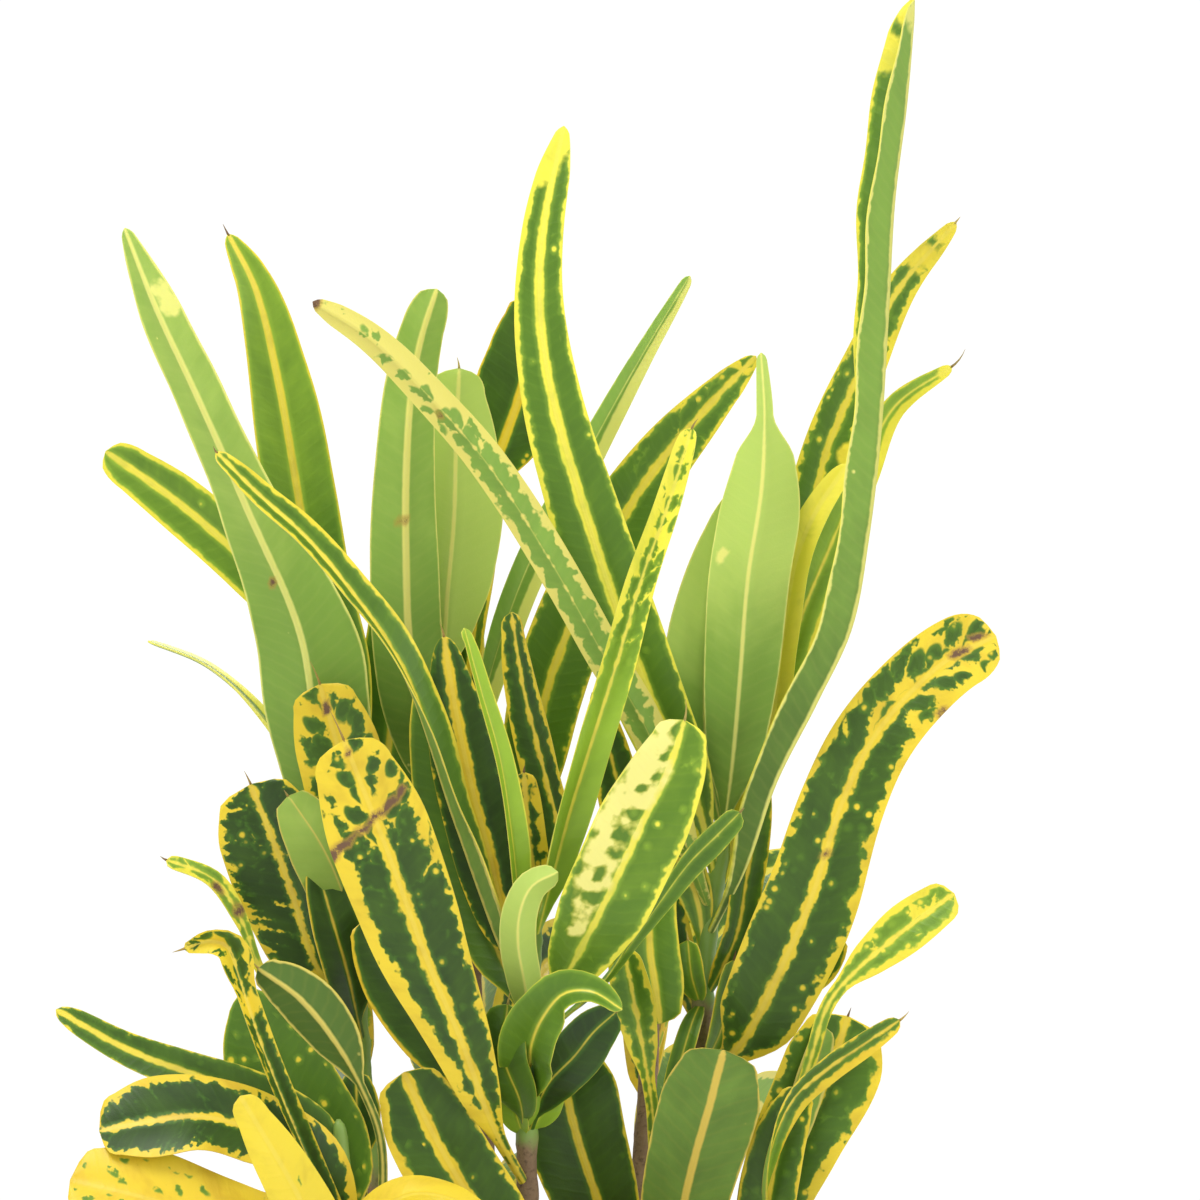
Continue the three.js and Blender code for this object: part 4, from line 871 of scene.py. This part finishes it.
def floor_finish():
    """A pale floor that fades into the white beyond it."""
    material = finish("pale_floor", floor_skin)
    n = Nodes(material.node_tree)
    away = n.add("ShaderNodeVectorMath", "Value", (n.place(),), operation="LENGTH")
    glow = n.add("ShaderNodeEmission", 0, {"Strength": BACKDROP_LIGHT})
    near = Wire(n, n.tree.nodes["Principled BSDF"].outputs[0])
    faded = n.add("ShaderNodeMixShader", 0, (n.ramp(away, 0.3, 1.2), near, glow))
    n.put(n.tree.nodes["Material Output"].inputs["Surface"], faded)
    return material


CROTON_LEAF = finish("croton_leaf", leaf_skin, **{
    "Specular IOR Level": 0.32, "Subsurface Weight": 0.15, "Subsurface Scale": 0.0012,
    "Subsurface Radius": (0.8, 1.0, 0.2),
})
CROTON_STEM = finish("croton_stem", stem_skin)


# ---- Stems ----
def stem_piece(name, route, girth, bark_top, joints):
    """A tapered stem, swollen at the heights of its joints, with bark that gives way to green."""
    verts, wood = [], []
    for r in range(STEM_RINGS + 1):
        s = r / STEM_RINGS
        centre = route.at(s)
        swell = sum(JOINT_SWELL * math.exp(-(((centre.z - z) / JOINT_REACH) ** 2)) for z in joints)
        radius = blend(*girth, s) + min(swell, MOST_SWELL) - CORE_INSET
        if s > STEM_DOME:
            radius *= math.sqrt(max(0.0, 1 - ((s - STEM_DOME) / (1.001 - STEM_DOME)) ** 2))
        for k, (x, y, _) in enumerate(circle(STEM_SIDES, radius)):
            turn = 2 * math.pi * k / STEM_SIDES
            rough = 0.03 * math.sin(3 * turn + centre.z * 0.4) + 0.02 * math.sin(7 * turn + centre.z * 1.7)
            verts.append(centre + Vector((x, y, 0)) * (1 + rough))
            wood.append(0.5 - (centre.z - bark_top) / BARK_FADE)
    faces = tube(0, STEM_RINGS + 1, STEM_SIDES)
    piece = add_piece(f"stem_{name}", verts, faces, CROTON_STEM, name, "foliage")
    write_values(piece.data, "wood", wood)


# ---- Pot and soil ----
def outer_radius(z):
    return blend(POT_BASE_RADIUS, POT_RIM_RADIUS - COLLAR_STEP, z / POT_HEIGHT)


def inner_radius(z):
    return outer_radius(z) - POT_WALL


def turned_mesh(profile, sides):
    """Vertices and faces of a profile of (radius, height) turned about the axis; it starts and ends on it."""
    rings = [circle(sides, radius, z) for radius, z in profile[1:-1]]
    verts = [(0, 0, profile[0][1]), *(v for ring in rings for v in ring), (0, 0, profile[-1][1])]
    faces = tube(1, len(rings), sides)[:-2]
    top = len(verts) - 1
    for k in range(sides):
        after = (k + 1) % sides
        faces += [(0, 1 + after, 1 + k), (top - sides + k, top - sides + after, top)]
    return verts, faces


def rounded(profile, radius, steps=4):
    """The profile with each inner corner rounded, by a radius or less where its sides are short."""
    made = [profile[0]]
    for a, b, c in zip(profile, profile[1:], profile[2:]):
        a, b, c = Vector(a), Vector(b), Vector(c)
        before, after = a - b, c - b
        reach = min(radius, before.length * 0.45, after.length * 0.45)
        start, end = b + before.normalized() * reach, b + after.normalized() * reach
        for i in range(steps + 1):
            t = i / steps
            made.append(tuple(start * (1 - t) ** 2 + b * 2 * t * (1 - t) + end * t**2))
    return made + [profile[-1]]


def pot_piece():
    foot = POT_HEIGHT - COLLAR_HEIGHT
    profile = rounded([
        (0, 0), (POT_BASE_RADIUS - 2, 0), (outer_radius(2), 2), (outer_radius(foot), foot),
        (outer_radius(foot) + COLLAR_STEP, foot + 2), (POT_RIM_RADIUS, POT_HEIGHT - 1),
        (POT_RIM_RADIUS - 1, POT_HEIGHT), (inner_radius(POT_HEIGHT), POT_HEIGHT),
        (inner_radius(POT_FLOOR), POT_FLOOR), (0, POT_FLOOR),
    ], CORNER_RADIUS)
    pot = add_piece("pot_body", *turned_mesh(profile, POT_SIDES), finish("pot_clay", clay_skin), "pot", "pot")
    verts, faces = [], []
    for x, y, _ in circle(DRAIN_COUNT, DRAIN_CIRCLE_RADIUS):
        faces += tube(len(verts), 2, DRAIN_SIDES)
        for z in (-POT_FLOOR, 2 * POT_FLOOR):
            verts += circle(DRAIN_SIDES, DRAIN_RADIUS, z, x, y)
    drill = add_mesh("drain_drill", verts, faces)
    cut = pot.modifiers.new("drains", "BOOLEAN")
    cut.operation, cut.object, cut.solver = "DIFFERENCE", drill, "EXACT"
    bpy.context.view_layer.update()
    holed = bpy.data.meshes.new_from_object(pot.evaluated_get(bpy.context.evaluated_depsgraph_get()))
    pot.modifiers.clear()
    pot.data = holed
    bpy.data.objects.remove(drill)
    holed.shade_smooth()
    holed.set_sharp_from_angle(angle=math.radians(32))


def soil_piece():
    """Heaped potting mix with a crumbly top, and bark crumbs lying in it."""
    rng = random.Random(7)
    foot = POT_FLOOR + FIT_GAP
    wall = inner_radius(SOIL_TOP) - FIT_GAP

    def heap(r):
        return SOIL_TOP + SOIL_MOUND * (1 - ease((r / wall - 0.3) / 0.7))

    radii = [wall * (1 - i / SOIL_RINGS) for i in range(SOIL_RINGS)]
    profile = [(0, foot), (inner_radius(foot) - FIT_GAP, foot), *((r, heap(r)) for r in radii), (0, heap(0))]
    smooth_verts, faces = turned_mesh(profile, POT_SIDES)
    verts = []
    for x, y, z in smooth_verts:
        if z > SOIL_TOP - 1 and math.hypot(x, y) < wall * 0.985:
            z += rng.uniform(-0.9, 0.7)
        verts.append((x, y, z))
    for _ in range(CRUMBS):
        r, turn = wall * 0.95 * math.sqrt(rng.random()), rng.uniform(0, 2 * math.pi)
        size = rng.choice((1.0, 1.3, 1.8, 2.6))
        centre = Vector((r * math.cos(turn), r * math.sin(turn), heap(r) + size * 0.1))
        add_crumb(verts, faces, centre, size, rng)
    add_piece("soil_top", verts, faces, finish("potting_soil", soil_skin), "soil", "soil").data.shade_flat()


def add_crumb(verts, faces, centre, size, rng):
    """One angular crumb of bark: a squashed octahedron with uneven corners."""
    first = len(verts)
    turn = rng.uniform(0, math.pi)
    for x, y, z in ((1, 0, 0), (0, 1, 0), (-1, 0, 0), (0, -1, 0), (0, 0, 1), (0, 0, -1)):
        x, y, z = x * rng.uniform(0.7, 1.5), y * rng.uniform(0.5, 1.0), z * rng.uniform(0.4, 0.8)
        corner = (x * math.cos(turn) - y * math.sin(turn), x * math.sin(turn) + y * math.cos(turn), z)
        verts.append(centre + Vector(corner) * size)
    for a, b in ((0, 1), (1, 2), (2, 3), (3, 0)):
        faces += [(first + a, first + b, first + 4), (first + b, first + a, first + 5)]


# ---- The plant ----
def placed_leaf(shoot, stem, row, seed):
    name, outline, width, fold, (at_base, at_tip), tilt, height, look, places, *apart = row
    route = Route([stem.at_height(height)] + [in_depth(p) for p in places])
    leaf_piece(name, shoot, route, outline, width, fold, lambda s: facing(blend(at_base, at_tip, s), tilt),
               look, apart[0] if apart else {}, seed)


def random_look(rng):
    return (
        rng.choice((0.08, 0.2, 0.3, 0.45, 0.6)), rng.uniform(2.0, 3.6), rng.uniform(0.6, 2.4),
        rng.uniform(0.25, 1.0), rng.uniform(0.05, 0.6), rng.uniform(0.2, 0.7),
    )


def arching_leaf(shoot, index, stem, row, seed):
    outline, width, fold, height, heading, length, rise_at_base, rise_at_tip, roll = row
    outward, step = facing(heading, 0), length / ARCHING_STEPS
    points = [stem.at_height(height)]
    for i in range(ARCHING_STEPS):
        rise = math.radians(blend(rise_at_base, rise_at_tip, i / (ARCHING_STEPS - 1)))
        points.append(points[-1] + outward * step * math.cos(rise) + Vector((0, 0, step * math.sin(rise))))
    chord = (points[-1] - points[0]).normalized()
    up = Quaternion(chord, math.radians(roll)) @ (Vector((0, 0, 1)) - outward).normalized()
    leaf_piece(f"{shoot}_arching_{index}", shoot, Route(points), outline, width, fold, lambda s: up,
               random_look(random.Random(seed)), {}, seed)


pot_piece()
soil_piece()
seed = 100
for shoot, (places, girth, bark_top) in STEMS.items():
    stem, leaves, arching = Route(places), LEAVES.get(shoot, []), ARCHING[shoot]
    stem_piece(shoot, stem, girth, bark_top, [row[6] for row in leaves] + [row[3] for row in arching])
    for row in leaves:
        seed += 1
        placed_leaf(shoot, stem, row, seed)
    for index, row in enumerate(arching):
        seed += 1
        arching_leaf(shoot, index, stem, row, seed)


# ---- Floor, light and camera ----
def studio():
    sides = 96
    floor = add_mesh("floor", circle(sides, FLOOR_RADIUS), [range(sides)])
    floor.data.materials.append(floor_finish())
    world = bpy.data.worlds.new("studio")
    world.use_nodes = True
    bpy.context.scene.world = world
    n = Nodes(world.node_tree)
    ground = world.node_tree.nodes["Background"]
    seen = n.add("ShaderNodeLightPath", "Is Camera Ray")
    n.put(ground.inputs["Strength"], seen * (BACKDROP_LIGHT - ROOM_LIGHT) + ROOM_LIGHT)
    n.put(ground.inputs["Color"], (1, 1, 1, 1))
    for name, place, size, watts in (
        ("key", (-0.6, -0.8, 1.9), 0.9, 22.0),
        ("fill", (1.3, -1.1, 0.9), 1.0, 7.0),
        ("back", (0.3, 1.3, 1.6), 0.9, 16.0),
    ):
        data = bpy.data.lights.new(name, "AREA")
        data.size, data.energy = size, watts
        lamp = add_object(name, data)
        lamp.location = place
        lamp.rotation_mode = "QUATERNION"
        lamp.rotation_quaternion = (Vector((0, 0, 0.28)) - Vector(place)).to_track_quat("-Z", "Y")


def camera():
    data = bpy.data.cameras.new("camera")
    data.sensor_width = 36
    data.lens = data.sensor_width * -EYE.y / VIEW_WIDTH
    data.clip_start, data.clip_end = 0.05, 20
    eye = add_object("camera", data)
    eye.location = EYE * MM
    eye.rotation_euler = (math.radians(90), 0, 0)
    bpy.context.scene.camera = eye


studio()
camera()
bpy.context.scene.view_settings.view_transform = "Standard"
